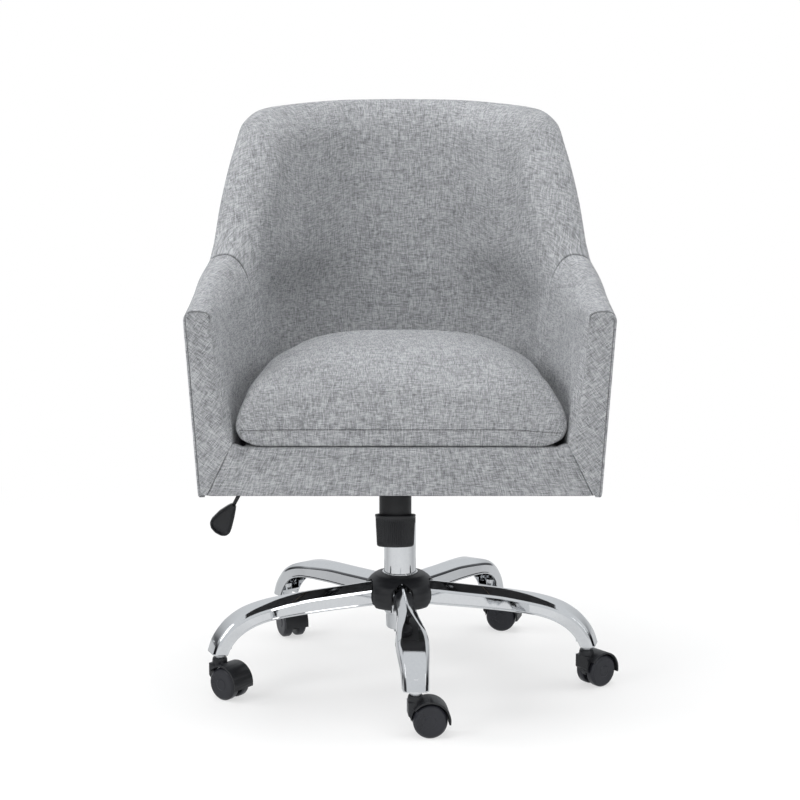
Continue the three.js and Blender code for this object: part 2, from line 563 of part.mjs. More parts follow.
add('lever_rod', leverRod(), STEEL());

function paddle() {
  // Drop-shaped grip lying in the plane of the rod's bend, 9 mm thick.
  const f = ROD[ROD.length - 1], e = [f[0] + 11 * Math.cos(rad(62)), 6, f[2] + 11 * Math.sin(rad(62))];
  const d = new THREE.Vector2(f[0] - e[0], f[2] - e[2]).normalize();
  const outline = [[-2, -4.6], [6, -8.5], [22, -15.6], [38, -20.5], [46, -20.5], [53, -14.5], [56.5, -5], [56.5, 5], [53, 12.5], [46, 15.5], [38, 14.4], [22, 10.5], [6, 6.6], [-2, 4.6]];
  const pts = outline.map(([a, b]) => [e[0] + d.x * (a + 2) - d.y * b, e[2] + d.y * (a + 2) + d.x * b]);
  const slab = (p, y0, y1) => { const g = extruded(p, y1 - y0); g.rotateX(Math.PI / 2); g.translate(0, y1, 0); return toSolid(g); };
  let s = slab(pts, 0, 12);
  const hole = new THREE.CylinderGeometry(3.4, 3.4, 90, 12);
  const dir = new THREE.Vector3(d.x, 0, d.y);
  hole.applyQuaternion(new THREE.Quaternion().setFromUnitVectors(new THREE.Vector3(0, 1, 0), dir));
  hole.translate(f[0] - dir.x * 44.6, 6, f[2] - dir.z * 44.6);
  s = s.subtract(toSolid(hole));
  return toGeometry(s);
}
add('lever_paddle', paddle(), BLACK());

// Sleeve in the housing wall that the lever turns in; it slides to lock the tilt.
add('tilt_lock_slide', (() => {
  const b = toSolid(box(-36, -28, -6, 18, 308.5, 321.5)).subtract(toSolid(box(-40, -20, 1.6, 10.4, 310.6, 319.4)));
  return toGeometry(b);
})(), ZINC());

// ------------------------------------------------------------ seat structure
function seatPlate() {
  let s = toSolid(box(-100, 100, -140, 95, 342, 344.8));
  for (const sx of [-1, 1]) {
    const g = extruded([[-60, 343], [-60, 330], [-48, 311], [-22, 311], [-10, 330], [-10, 343]], 3.2);
    g.rotateY(Math.PI / 2); g.rotateX(Math.PI / 2);
    g.translate(sx > 0 ? 47.2 : -50.4, 0, 0);
    s = s.add(toSolid(g));
  }
  const hole = turned([[0, -60], [6.4, -60], [6.4, 60], [0, 60]], 16);
  hole.rotateY(Math.PI / 2);
  hole.translate(0, PIVOT_Y, PIVOT_Z);
  s = s.subtract(toSolid(hole));
  // Slot for the tension bolt, and holes for the four seat bolts.
  s = s.subtract(toSolid(box(KNOB_X - 6, KNOB_X + 6, -121, -96, 335, 350)));
  for (const [x, y] of BOLTS) s = s.subtract(toSolid(moved(turned([[0, 330], [3.6, 330], [3.6, 350], [0, 350]], 12), x, y, 0)));
  return toGeometry(s);
}
const BOLTS = [[-82, -112], [82, -112], [-82, 72], [82, 72]];
add('seat_plate', seatPlate(), STEEL());

// Outline of anything that fits inside the shell at depth n, as [x, y] pairs.
function insideOutline(depth, z, front, steps) {
  const half = [];
  for (let i = 0; i <= steps; i++) {
    const u = 0.02 + 0.98 * i / steps, p = tub(u, z, typeof depth === 'function' ? depth(u) : depth, -1);
    half.push([Math.min(p[0], 0), p[1]]);
  }
  const left = half.filter((p) => p[1] > front + 4);
  left.unshift([left[0][0], front]);
  const right = left.slice(0, -1).reverse().map(([x, y]) => [-x, y]);
  return left.concat(right);
}
function plate(pts, z0, z1) {
  const g = extruded(pts, z1 - z0);
  g.translate(0, 0, z0);
  return toSolid(g);
}
function seatFrame() {
  let s = plate(insideOutline(FRAME_OUT + 1.6, 346, -246.5, 18), PLY_Z0, PLY_Z1);
  s = s.subtract(toSolid(moved(turned([[0, 330], [17, 330], [17, 370], [0, 370]], 20), KNOB_X, -107, 0)));
  for (const [x, y] of BOLTS) s = s.subtract(toSolid(moved(turned([[0, 330], [3.6, 330], [3.6, 370], [0, 370]], 12), x, y, 0)));
  return toGeometry(s);
}
add('seat_frame', seatFrame(), WOOD());
BOLTS.forEach(([x, y], i) => add(`seat_bolt_${i + 1}`, moved(turned([[0, 337.4], [6.2, 337.4], [6.8, 338.6], [6.8, 341.6], [3.2, 341.6], [3.2, 359], [0, 359]], 12), x, y, 0), ZINC()));

// Bent plywood tub, and the outer cover over it.
function wrap(n0, n1, z0, drop) {
  const rings = [], flats = [], stations = ARM_STATIONS.concat(BACK_STATIONS.slice(1));
  const put = (u, side) => {
    const top = seamZ(u) - drop, mid = z0 + (top - z0) * 0.5;
    const pts = [[n0, z0], [n0, mid], [n0, top], [n1, top], [n1, mid], [n1, z0]];
    rings.push(ringAt(u, pts, side));
    flats.push(pts);
  };
  for (const u of stations) put(u, -1);
  for (const u of stations.slice(0, -1).reverse()) put(u, 1);
  return loft(rings, flats);
}
add('outer_shell', wrap(0, SHELL_T, TUB_BOTTOM, 0), FABRIC());
add('tub_frame', wrap(FRAME_IN, FRAME_OUT, TUB_BOTTOM + 1, 2.2), WOOD());

// Arms and back upholstery.
function armPad(side) {
  const rings = [], flats = [];
  const stations = [U_STRAIGHT * 15.3 / 165, ...ARM_STATIONS];
  stations[stations.length - 1] -= 0.0012;
  for (const u of stations) {
    const pts = padSection(u);
    rings.push(ringAt(u, pts, side));
    flats.push(pts);
  }
  let s = toSolid(loft(rings, flats));
  // Front panel: closes the front of the arm down to the lower edge.
  const front = [], fflat = [];
  for (const y of [0, 6, 15.8]) {
    const u = U_STRAIGHT * y / 165, sec = padSection(u).slice(0, -2).map(([n, z]) => [n === 0.4 ? 0 : n, z]);
    const k = y === 0 ? 0.965 : 1;
    const cut = [];
    for (const [n, z] of sec) cut.push([n, z]);
    cut.pop();
    cut.push([padT(0, 421) , 421], [12.5, 345.4], [0, 345.4]);
    const cx = 24, cz = 560;
    const pts = cut.map(([n, z]) => [n < 1 ? n + (1 - k) * 60 : n - (1 - k) * 60, z > 590 ? z - (1 - k) * 90 : z]);
    front.push(ringAt(u, pts, side));
    fflat.push(pts);
  }
  s = s.add(toSolid(loft(front, fflat)));
  return toGeometry(s);
}
add('arm_left', armPad(-1), FABRIC_DARK());
add('arm_right', armPad(1), FABRIC_DARK());

function backPad() {
  const rings = [], flats = [], stations = BACK_STATIONS.slice();
  stations[0] += 0.0012;
  const put = (u, side) => { const p = padSection(u); rings.push(ringAt(u, p, side)); flats.push(p); };
  for (const u of stations) put(u, -1);
  for (const u of stations.slice(0, -1).reverse()) put(u, 1);
  return loft(rings, flats);
}
add('back_pad', backPad(), FABRIC());

// Upholstered seat platform; its front face is the front rail.
function seatDeck() {
  const depth = (u) => padT(u, DECK_Z0) + 2.5;
  let s = plate(insideOutline(depth, DECK_Z0, -262, 14), DECK_Z0, DECK_Z1);
  const rail = extruded([[-275.6, 345.4], [275.6, 345.4], [241.1, 415], [-241.1, 415]], 14.4);
  rail.rotateX(Math.PI / 2);
  rail.translate(0, TUB_FRONT + 14.7, 0);
  s = s.add(toSolid(rail));
  return toGeometry(s);
}
add('seat_deck', seatDeck(), FABRIC());

// Loose cushion: D-shaped, crowned, with a band along its front edge.
function cushion() {
  const lay = [[CUSHION_Z0, 12], [422, 3.5], [CUSHION_SEAM, 0], [470, 2], [493, 9], [509, 24], [520, 48], [528, 86], [CUSHION_TOP, 140]];
  const rings = [], flats = [];
  for (const [z, inset] of lay) {
    const zz = Math.min(z, 480), depth = (u) => padT(u, zz) + 3 + inset;
    const pts = insideOutline(depth, zz, -264 + inset * 0.9, 16);
    rings.push(pts.map(([x, y]) => [x, y, z]));
    flats.push(pts);
  }
  const n = Math.min(...rings.map((r) => r.length));
  if (rings.some((r) => r.length !== n)) {
    // Resample every layer to the same number of points along its outline.
    for (let i = 0; i < rings.length; i++) {
      const r = rings[i], L = [0];
      for (let j = 1; j <= r.length; j++) { const a = r[j - 1], b = r[j % r.length]; L.push(L[j - 1] + Math.hypot(a[0] - b[0], a[1] - b[1])); }
      const out = [], m = 34;
      for (let q = 0; q < m; q++) {
        const s = L[r.length] * q / m; let j = 0; while (L[j + 1] < s) j++;
        const a = r[j], b = r[(j + 1) % r.length], t = (s - L[j]) / (L[j + 1] - L[j]);
        out.push([a[0] + (b[0] - a[0]) * t, a[1] + (b[1] - a[1]) * t, a[2]]);
      }
      rings[i] = out; flats[i] = out;
    }
  }
  return loft(rings, flats);
}
add('seat_cushion', cushion(), FABRIC());

function dustCover() {
  const s = plate(insideOutline(8, 345, -257, 18), 343.4, 344.6).subtract(toSolid(box(-104, 104, -144, 99, 340, 350)));
  return toGeometry(s);
}
add('dust_cover', dustCover(), material(0x202124, 0.9, 0));

export default chair;
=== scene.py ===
import bpy
import bmesh
import json
import math
import numpy as np
from mathutils import Vector, Matrix, noise

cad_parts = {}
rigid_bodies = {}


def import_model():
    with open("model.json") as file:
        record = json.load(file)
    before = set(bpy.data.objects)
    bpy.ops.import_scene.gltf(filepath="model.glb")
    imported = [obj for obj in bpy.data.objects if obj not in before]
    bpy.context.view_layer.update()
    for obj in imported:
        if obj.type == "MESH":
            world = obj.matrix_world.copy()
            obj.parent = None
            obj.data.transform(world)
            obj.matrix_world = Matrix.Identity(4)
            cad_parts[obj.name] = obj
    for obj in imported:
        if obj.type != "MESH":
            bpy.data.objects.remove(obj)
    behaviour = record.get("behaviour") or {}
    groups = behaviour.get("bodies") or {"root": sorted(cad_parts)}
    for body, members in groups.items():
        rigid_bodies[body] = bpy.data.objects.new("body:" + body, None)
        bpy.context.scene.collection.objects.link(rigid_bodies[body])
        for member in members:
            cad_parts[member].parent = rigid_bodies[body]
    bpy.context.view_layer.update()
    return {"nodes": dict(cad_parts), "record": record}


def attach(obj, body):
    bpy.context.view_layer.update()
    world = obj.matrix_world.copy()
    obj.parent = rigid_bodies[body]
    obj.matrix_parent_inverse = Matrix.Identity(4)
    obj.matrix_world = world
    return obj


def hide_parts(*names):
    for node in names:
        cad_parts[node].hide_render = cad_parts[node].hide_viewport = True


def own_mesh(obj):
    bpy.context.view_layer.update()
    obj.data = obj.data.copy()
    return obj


# ------------------------------------------------------------------ frame
for o in list(bpy.data.objects):
    bpy.data.objects.remove(o)
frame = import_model()
NODES = frame["nodes"]
CX, CY = -17.3, -4.9            # column axis in the row frame, mm
ROOT = bpy.context.scene.collection
rad = math.radians


def row(v):
    a = np.array(v, float).reshape(-1, 3)
    a[:, 0] += CX
    a[:, 1] += CY
    return a / 1000.0


# -------------------------------------------------------------- mesh tools
def mesh_from(name, verts, faces, sharp=None, recalc=True):
    me = bpy.data.meshes.new(name)
    me.from_pydata([tuple(p) for p in verts], [], [tuple(f) for f in faces])
    bm = bmesh.new()
    bm.from_mesh(me)
    bmesh.ops.dissolve_degenerate(bm, dist=1e-7, edges=bm.edges)
    if recalc:
        bmesh.ops.recalc_face_normals(bm, faces=bm.faces)
        if bm.calc_volume(signed=True) < 0:
            bmesh.ops.reverse_faces(bm, faces=bm.faces)
    for f in bm.faces:
        f.smooth = True
    if sharp is not None:
        lim = rad(sharp)
        for e in bm.edges:
            if len(e.link_faces) == 2 and e.calc_face_angle(0) > lim:
                e.smooth = False
    bm.to_mesh(me)
    bm.free()
    me.update()
    return me


def piece(name, verts, faces, mat, body, replaces=(), sharp=None, weave=None, units="mm", seam=None):
    v = row(verts) if units == "mm" else np.array(verts, float)
    me = mesh_from(name, v, faces, sharp)
    return finish_piece(name, me, mat, body, replaces, weave, seam=seam)


def finish_piece(name, me, mat, body, replaces=(), weave=None, matrix=None, seam=None):
    me.name = name
    me.materials.clear()
    me.materials.append(mat)
    o = bpy.data.objects.new(name, me)
    ROOT.objects.link(o)
    if matrix is not None:
        o.matrix_world = matrix
    if weave is not None and len(weave) == len(me.vertices):
        at = me.attributes.new("weave", "FLOAT_VECTOR", "POINT")
        at.data.foreach_set("vector", np.array(weave, np.float32).ravel())
    # the seam attribute holds painted shade: how far the cloth is darkened in a seam's crease
    if seam is not None and len(seam) == len(me.vertices):
        at = me.attributes.new("seam", "FLOAT", "POINT")
        at.data.foreach_set("value", np.array(seam, np.float32).ravel())
    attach(o, body)
    if replaces:
        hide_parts(*replaces)
    return o


def grid(nu, nv, cu=False, cv=False, base=0):
    out = []
    for i in range(nu if cu else nu - 1):
        i2 = (i + 1) % nu
        for j in range(nv if cv else nv - 1):
            j2 = (j + 1) % nv
            out.append((base + i * nv + j, base + i2 * nv + j, base + i2 * nv + j2, base + i * nv + j2))
    return out


def fillet(points, radii, n=5, closed=True):
    pts = [np.array(p, float) for p in points]
    m = len(pts)
    if not hasattr(radii, "__len__"):
        radii = [radii] * m
    out = []
    for i, p in enumerate(pts):
        if (not closed and i in (0, m - 1)) or radii[i] <= 0:
            out.append(tuple(p))
            continue
        a, b = pts[i - 1], pts[(i + 1) % m]
        va, vb = a - p, b - p
        la, lb = np.linalg.norm(va), np.linalg.norm(vb)
        va, vb = va / la, vb / lb
        cosg = float(np.clip(va @ vb, -1, 1))
        g = math.acos(cosg)
        if g > math.pi - 0.02:
            out.append(tuple(p))
            continue
        t = min(radii[i] / math.tan(g / 2), la * 0.49, lb * 0.49)
        r = t * math.tan(g / 2)
        c = p + (va + vb) / np.linalg.norm(va + vb) * (r / math.sin(g / 2))
        s0, s1 = p + va * t - c, p + vb * t - c
        a0 = math.atan2(s0[1], s0[0])
        a1 = math.atan2(s1[1], s1[0])
        d = (a1 - a0 + math.pi) % (2 * math.pi) - math.pi
        for k in range(n + 1):
            q = a0 + d * k / n
            out.append((c[0] + r * math.cos(q), c[1] + r * math.sin(q)))
    return out


def lathe(profile, segs, closed=False, radial=None):
    verts, idx = [], []
    for r, z in profile:
        if r < 1e-6:
            idx.append([len(verts)] * segs)
            verts.append((0.0, 0.0, z))
        else:
            ring = []
            for k in range(segs):
                a = 2 * math.pi * k / segs
                rr = r if radial is None else radial(r, z, a)
                ring.append(len(verts))
                verts.append((rr * math.cos(a), rr * math.sin(a), z))
            idx.append(ring)
    faces = []
    m = len(idx)
    for i in range(m if closed else m - 1):
        for k in range(segs):
            k2 = (k + 1) % segs
            q = [idx[i][k], idx[i][k2], idx[(i + 1) % m][k2], idx[(i + 1) % m][k]]
            u = []
            for x in q:
                if x not in u:
                    u.append(x)
            if len(u) > 2:
                faces.append(tuple(u))
    return np.array(verts, float), faces


def shift(v, x=0, y=0, z=0):
    return np.array(v, float) + np.array([x, y, z], float)


def turn(v, axis, deg):
    m = np.array(Matrix.Rotation(rad(deg), 3, axis))
    return np.array(v, float) @ m.T


def prism(points, lo, hi, axis="y"):
    """Closed prism of a 2-D outline. axis y: points are (x, z); axis x: points are (y, z); axis z: (x, y)."""
    n = len(points)
    v = []
    for d in (lo, hi):
        for p, q in points:
            v.append((p, d, q) if axis == "y" else (d, p, q) if axis == "x" else (p, q, d))
    f = [tuple(range(n)), tuple(range(2 * n - 1, n - 1, -1))]
    for i in range(n):
        j = (i + 1) % n
        f.append((i, i + n, j + n, j))
    return np.array(v, float), f


def temp(name, v, f):
    me = mesh_from(name, np.array(v, float), f)
    o = bpy.data.objects.new(name, me)
    ROOT.objects.link(o)
    return o


def combine(base, ops):
    """Boolean of temporary objects, in mm. ops are (UNION|DIFFERENCE|INTERSECT, verts, faces)."""
    b = temp("tmp_base", *base)
    for k, (op, v, f) in enumerate(ops):
        c = temp("tmp_cut", v, f)
        m = b.modifiers.new("b", "BOOLEAN")
        m.operation = op
        m.solver = "EXACT"
        m.object = c
        dg = bpy.context.evaluated_depsgraph_get()
        me = bpy.data.meshes.new_from_object(b.evaluated_get(dg))
        b.modifiers.clear()
        old = b.data
        b.data = me
        bpy.data.meshes.remove(old)
        bpy.data.objects.remove(c)
    return b


def softened(o, width, segs=2, angle=32):
    """Small rounded edges on a temporary object."""
    bm = bmesh.new()
    bm.from_mesh(o.data)
    bmesh.ops.remove_doubles(bm, verts=bm.verts, dist=0.02)
    bmesh.ops.dissolve_degenerate(bm, dist=0.02, edges=bm.edges)
    bmesh.ops.dissolve_limit(bm, angle_limit=rad(1.0), verts=bm.verts, edges=bm.edges)
    bm.to_mesh(o.data)
    bm.free()
    if width > 0:
        m = o.modifiers.new("bev", "BEVEL")
        m.width = width
        m.segments = segs
        m.limit_method = "ANGLE"
        m.angle_limit = rad(angle)
        m.use_clamp_overlap = True
        m.miter_outer = "MITER_ARC"
        dg = bpy.context.evaluated_depsgraph_get()
        me = bpy.data.meshes.new_from_object(o.evaluated_get(dg))
        o.modifiers.clear()
        o.data = me
    return o


def take(o, sharp=35, matrix=None, scale=True):
    """Mesh of a temporary object in metres of the row frame (column frame in mm before)."""
    me = o.data
    if scale:
        co = np.zeros(len(me.vertices) * 3)
        me.vertices.foreach_get("co", co)
        co = co.reshape(-1, 3)
        if matrix is not None:
            co = co @ np.array(matrix)[:3, :3].T + np.array(matrix)[:3, 3]
        co = row(co)
        me.vertices.foreach_set("co", co.ravel())
    bm = bmesh.new()
    bm.from_mesh(me)
    bmesh.ops.triangulate(bm, faces=[f for f in bm.faces if len(f.verts) > 4])
    for f in bm.faces:
        f.smooth = True
    for e in bm.edges:
        e.smooth = not (len(e.link_faces) == 2 and e.calc_face_angle(0) > rad(sharp))
    bm.to_mesh(me)
    bm.free()
    me.update()
    bpy.data.objects.remove(o)
    return me


# --------------------------------------------------------------- materials
def mat_new(name, base, rough=0.5, metal=0.0):
    m = bpy.data.materials.new(name)
    m.use_nodes = True
    nt = m.node_tree
    b = nt.nodes["Principled BSDF"]
    b.inputs["Base Color"].default_value = (*base, 1)
    b.inputs["Roughness"].default_value = rough
    b.inputs["Metallic"].default_value = metal
    m.diffuse_color = (*base, 1)
    return m, nt, b


def N(nt, kind, **kw):
    n = nt.nodes.new(kind)
    for k, v in kw.items():
        setattr(n, k, v)
    return n


def math_node(nt, op, a, b=None, clamp=False):
    n = nt.nodes.new("ShaderNodeMath")
    n.operation = op
    n.use_clamp = clamp
    for i, x in enumerate((a, b)):
        if x is None:
            continue
        if isinstance(x, (int, float)):
            n.inputs[i].default_value = x
        else:
            nt.links.new(x, n.inputs[i])
    return n.outputs[0]


def noise_node(nt, vec, scale, detail=2.0, rough=0.5):
    n = nt.nodes.new("ShaderNodeTexNoise")
    n.inputs["Scale"].default_value = scale
    n.inputs["Detail"].default_value = detail
    n.inputs["Roughness"].default_value = rough
    nt.links.new(vec, n.inputs["Vector"])
    return n.outputs["Fac"]


def mapped(nt, vec, scale, rot=(0, 0, 0), loc=(0, 0, 0)):
    n = nt.nodes.new("ShaderNodeMapping")
    n.inputs["Scale"].default_value = scale
    n.inputs["Rotation"].default_value = rot
    n.inputs["Location"].default_value = loc
    nt.links.new(vec, n.inputs["Vector"])
    return n.outputs[0]


def ramp(nt, fac, stops):
    n = nt.nodes.new("ShaderNodeValToRGB")
    e = n.color_ramp.elements
    e[0].position, e[0].color = stops[0][0], (*stops[0][1], 1)
    e[1].position, e[1].color = stops[-1][0], (*stops[-1][1], 1)
    for p, c in stops[1:-1]:
        x = e.new(p)
        x.color = (*c, 1)
    nt.links.new(fac, n.inputs[0])
    return n.outputs[0]


def bump(nt, height, strength, distance, normal=None):
    n = nt.nodes.new("ShaderNodeBump")
    n.inputs["Strength"].default_value = strength
    n.inputs["Distance"].default_value = distance
    nt.links.new(height, n.inputs["Height"])
    if normal is not None:
        nt.links.new(normal, n.inputs["Normal"])
    return n.outputs[0]


def fabric(name, dark, mid, light, pitch=1.3, stitch_and_seam_shade=None):
    """Linen-look plain weave of uneven yarns. The weave attribute runs along the cloth in mm."""
    m, nt, b = mat_new(name, mid, 0.92)
    at = N(nt, "ShaderNodeAttribute", attribute_name="weave")
    vec = at.outputs["Vector"]
    # slow drift of the yarns, so that no row is ruler straight
    drift = noise_node(nt, mapped(nt, vec, (0.02, 0.02, 0.02)), 1.0, 3.0, 0.55)
    drift2 = noise_node(nt, mapped(nt, vec, (0.16, 0.16, 0.16), loc=(7, 3, 1)), 1.0, 1.0)
    sep = N(nt, "ShaderNodeSeparateXYZ")
    nt.links.new(vec, sep.inputs[0])
    off = math_node(nt, "ADD", math_node(nt, "MULTIPLY", math_node(nt, "SUBTRACT", drift, 0.5), 3.5), math_node(nt, "MULTIPLY", math_node(nt, "SUBTRACT", drift2, 0.5), 0.5))
    a = math_node(nt, "ADD", sep.outputs[0], off)
    c = math_node(nt, "SUBTRACT", sep.outputs[1], off)
    k = math.pi / pitch
    sa = math_node(nt, "SINE", math_node(nt, "MULTIPLY", a, k))
    sb = math_node(nt, "SINE", math_node(nt, "MULTIPLY", c, k))
    ha, hb = math_node(nt, "ABSOLUTE", sa), math_node(nt, "ABSOLUTE", sb)
    over = math_node(nt, "ADD", math_node(nt, "MULTIPLY", math_node(nt, "MULTIPLY", sa, sb), 1.8), 0.5, clamp=True)
    under = math_node(nt, "SUBTRACT", 1.0, over)
    h = math_node(nt, "ADD", math_node(nt, "MULTIPLY", ha, over), math_node(nt, "MULTIPLY", hb, under))

    # every yarn has its own shade, which changes along its length
    def yarn(row_pos, along, seed):
        r = math_node(nt, "FLOOR", math_node(nt, "MULTIPLY", row_pos, 1.0 / pitch))
        cmb = N(nt, "ShaderNodeCombineXYZ")
        nt.links.new(math_node(nt, "MULTIPLY", r, 3.71), cmb.inputs[0])
        nt.links.new(math_node(nt, "MULTIPLY", along, 0.085), cmb.inputs[1])
        cmb.inputs[2].default_value = seed
        return noise_node(nt, cmb.outputs[0], 1.0, 1.5, 0.6)
    s1 = yarn(a, c, 4.3)
    s2 = yarn(c, a, 19.7)
    s3 = noise_node(nt, mapped(nt, vec, (0.42, 0.42, 0.42), loc=(3, 9, 2)), 1.0, 1.0, 0.6)
    s4 = noise_node(nt, mapped(nt, vec, (0.012, 0.014, 0.012), loc=(5, 1, 8)), 1.0, 2.0, 0.5)
    both = math_node(nt, "MULTIPLY", math_node(nt, "ADD", s1, s2), 0.5)
    each = math_node(nt, "ADD", math_node(nt, "MULTIPLY", s1, over), math_node(nt, "MULTIPLY", s2, under))
    mixed = math_node(nt, "ADD", math_node(nt, "MULTIPLY", both, 0.6), math_node(nt, "MULTIPLY", each, 0.4))
    slub = math_node(nt, "MULTIPLY", math_node(nt, "SUBTRACT", mixed, 0.5), 2.7)
    slub = math_node(nt, "ADD", slub, math_node(nt, "MULTIPLY", math_node(nt, "SUBTRACT", s3, 0.5), 0.2))
    slub = math_node(nt, "ADD", slub, math_node(nt, "MULTIPLY", math_node(nt, "SUBTRACT", s4, 0.5), 0.25))
    slub = math_node(nt, "ADD", slub, math_node(nt, "MULTIPLY", math_node(nt, "SUBTRACT", h, 0.64), 0.4))
    fac = math_node(nt, "ADD", slub, 0.5, clamp=True)
    col = ramp(nt, fac, [(0.0, dark), (0.5, mid), (1.0, light)])
    height = math_node(nt, "ADD", math_node(nt, "MULTIPLY", h, 0.8), math_node(nt, "MULTIPLY", mixed, 0.9))
    # extra marks, such as the cushion's stitched line with its painted seam shade
    if stitch_and_seam_shade:
        col, height = stitch_and_seam_shade(nt, sep, col, height)
    # painted shade: the cloth is darkened along the seam attribute, for the shade that lies in the seams' creases
    sm = N(nt, "ShaderNodeAttribute", attribute_name="seam")
    shade = N(nt, "ShaderNodeMix", data_type="RGBA", blend_type="MULTIPLY")
    nt.links.new(math_node(nt, "MULTIPLY", sm.outputs["Fac"], 0.6, clamp=True), shade.inputs[0])
    nt.links.new(col, shade.inputs[6])
    shade.inputs[7].default_value = (0.22, 0.22, 0.23, 1)
    nt.links.new(shade.outputs[2], b.inputs["Base Color"])
    nt.links.new(bump(nt, height, 0.6, 0.0007), b.inputs["Normal"])
    b.inputs["Sheen Weight"].default_value = 0.12
    b.inputs["Sheen Roughness"].default_value = 0.45
    b.inputs["Sheen Tint"].default_value = (0.8, 0.83, 0.88, 1)
    b.inputs["Specular IOR Level"].default_value = 0.2
    return m


F_DARK, F_MID, F_LIGHT = (0.130, 0.1345, 0.142), (0.300, 0.307, 0.318), (0.500, 0.510, 0.525)
FABRIC = fabric("woven_cloth", F_DARK, F_MID, F_LIGHT)
FABRIC_OUT = fabric("woven_cloth_outer", F_DARK, F_MID, F_LIGHT)


def chrome_mat():
    m, nt, b = mat_new("bright_chrome", (0.80, 0.81, 0.825), 0.055, 1.0)
    tc = N(nt, "ShaderNodeTexCoord")
    n1 = noise_node(nt, tc.outputs["Object"], 38.0, 4.0, 0.6)
    n2 = noise_node(nt, tc.outputs["Object"], 260.0, 3.0, 0.6)
    r = math_node(nt, "ADD", math_node(nt, "MULTIPLY", n1, 0.02), 0.035)
    nt.links.new(r, b.inputs["Roughness"])
    col = ramp(nt, n2, [(0.3, (0.795, 0.805, 0.82)), (0.7, (0.83, 0.84, 0.85))])
    nt.links.new(col, b.inputs["Base Color"])
    nt.links.new(bump(nt, n1, 0.012, 0.002), b.inputs["Normal"])
    return m


def plastic(name, base, r0, r1, grain, strength, worn=None):
    m, nt, b = mat_new(name, base, r0)
    tc = N(nt, "ShaderNodeTexCoord")
    n1 = noise_node(nt, tc.outputs["Object"], 22.0, 3.0, 0.55)
    n2 = noise_node(nt, tc.outputs["Object"], grain, 2.0, 0.7)
    nt.links.new(math_node(nt, "ADD", math_node(nt, "MULTIPLY", n1, r1 - r0), r0), b.inputs["Roughness"])
    lift = tuple(min(1, x * 1.7 + 0.004) for x in base)
    nt.links.new(ramp(nt, math_node(nt, "ADD", math_node(nt, "MULTIPLY", n1, 0.6), math_node(nt, "MULTIPLY", n2, 0.4)), [(0.35, base), (0.75, lift)]), b.inputs["Base Color"])
    nt.links.new(bump(nt, n2, strength, 0.0004), b.inputs["Normal"])
    b.inputs["Specular IOR Level"].default_value = 0.5
    return m


CHROME = chrome_mat()
PLASTIC = plastic("moulded_black", (0.0085, 0.009, 0.0105), 0.30, 0.46, 1900.0, 0.22)
KNOB = plastic("ribbed_black", (0.009, 0.0095, 0.011), 0.34, 0.48, 2200.0, 0.2)
NYLON = plastic("black_nylon", (0.0095, 0.010, 0.0135), 0.22, 0.36, 1500.0, 0.12)
POWDER = plastic("black_powder_coat", (0.009, 0.0093, 0.0105), 0.36, 0.52, 1300.0, 0.3)


def zinc_mat():
    m, nt, b = mat_new("zinc_plate", (0.55, 0.56, 0.575), 0.3, 1.0)
    tc = N(nt, "ShaderNodeTexCoord")
    n1 = noise_node(nt, tc.outputs["Object"], 90.0, 4.0, 0.6)
    nt.links.new(math_node(nt, "ADD", math_node(nt, "MULTIPLY", n1, 0.25), 0.2), b.inputs["Roughness"])
    nt.links.new(ramp(nt, n1, [(0.3, (0.46, 0.47, 0.48)), (0.7, (0.62, 0.63, 0.645))]), b.inputs["Base Color"])
    nt.links.new(bump(nt, noise_node(nt, mapped(nt, tc.outputs["Object"], (300, 300, 1500)), 1.0, 2.0), 0.08, 0.0004), b.inputs["Normal"])
    return m


def ply_mat():
    m, nt, b = mat_new("birch_ply", (0.6, 0.44, 0.27), 0.6)
    tc = N(nt, "ShaderNodeTexCoord")
    v = tc.outputs["Object"]
    grain = noise_node(nt, mapped(nt, v, (14, 160, 160)), 1.0, 4.0, 0.6)
    w = N(nt, "ShaderNodeTexWave", wave_type="BANDS", bands_direction="Z")
    w.inputs["Scale"].default_value = 105.0
    w.inputs["Distortion"].default_value = 0.6
    nt.links.new(v, w.inputs["Vector"])
    f = math_node(nt, "ADD", math_node(nt, "MULTIPLY", grain, 0.75), math_node(nt, "MULTIPLY", w.outputs["Fac"], 0.25))
    nt.links.new(ramp(nt, f, [(0.25, (0.27, 0.18, 0.10)), (0.5, (0.43, 0.32, 0.20)), (0.8, (0.56, 0.44, 0.30))]), b.inputs["Base Color"])
    nt.links.new(bump(nt, grain, 0.2, 0.0006), b.inputs["Normal"])
    return m


def dust_mat():
    m, nt, b = mat_new("nonwoven_dust_cloth", (0.02, 0.02, 0.022), 0.9)
    tc = N(nt, "ShaderNodeTexCoord")
    n1 = noise_node(nt, tc.outputs["Object"], 900.0, 3.0, 0.7)
    vo = N(nt, "ShaderNodeTexVoronoi")
    vo.inputs["Scale"].default_value = 620.0
    nt.links.new(tc.outputs["Object"], vo.inputs["Vector"])
    nt.links.new(ramp(nt, n1, [(0.3, (0.012, 0.012, 0.013)), (0.75, (0.042, 0.042, 0.046))]), b.inputs["Base Color"])
    nt.links.new(bump(nt, math_node(nt, "ADD", vo.outputs["Distance"], n1), 0.4, 0.0006), b.inputs["Normal"])
    return m


ZINC, PLY, DUST = zinc_mat(), ply_mat(), dust_mat()

# ------------------------------------------------------- shape of the tub
FRONT, CURVE_Y, POWER, BOTTOM, ARM_Z = -265.0, -100.0, 2.3, 345.0, 600.0
CROWN_T = [[-265, 613.5], [-180, 623.5], [-100, 636], [-20, 651.5], [30, 662], [60, 689], [100, 764], [140, 832], [165, 868], [200, 885], [240, 890], [306, 897], [317, 898]]
THICK_T = [[-265, 42], [-100, 54], [30, 67], [75, 71], [120, 64], [165, 60], [230, 68], [317, 75]]
DROP_T = [[-265, 18.5], [-180, 20.5], [-100, 22], [-20, 20], [30, 14.5], [75, 12], [140, 13], [317, 13]]
U_STRAIGHT = 0.235


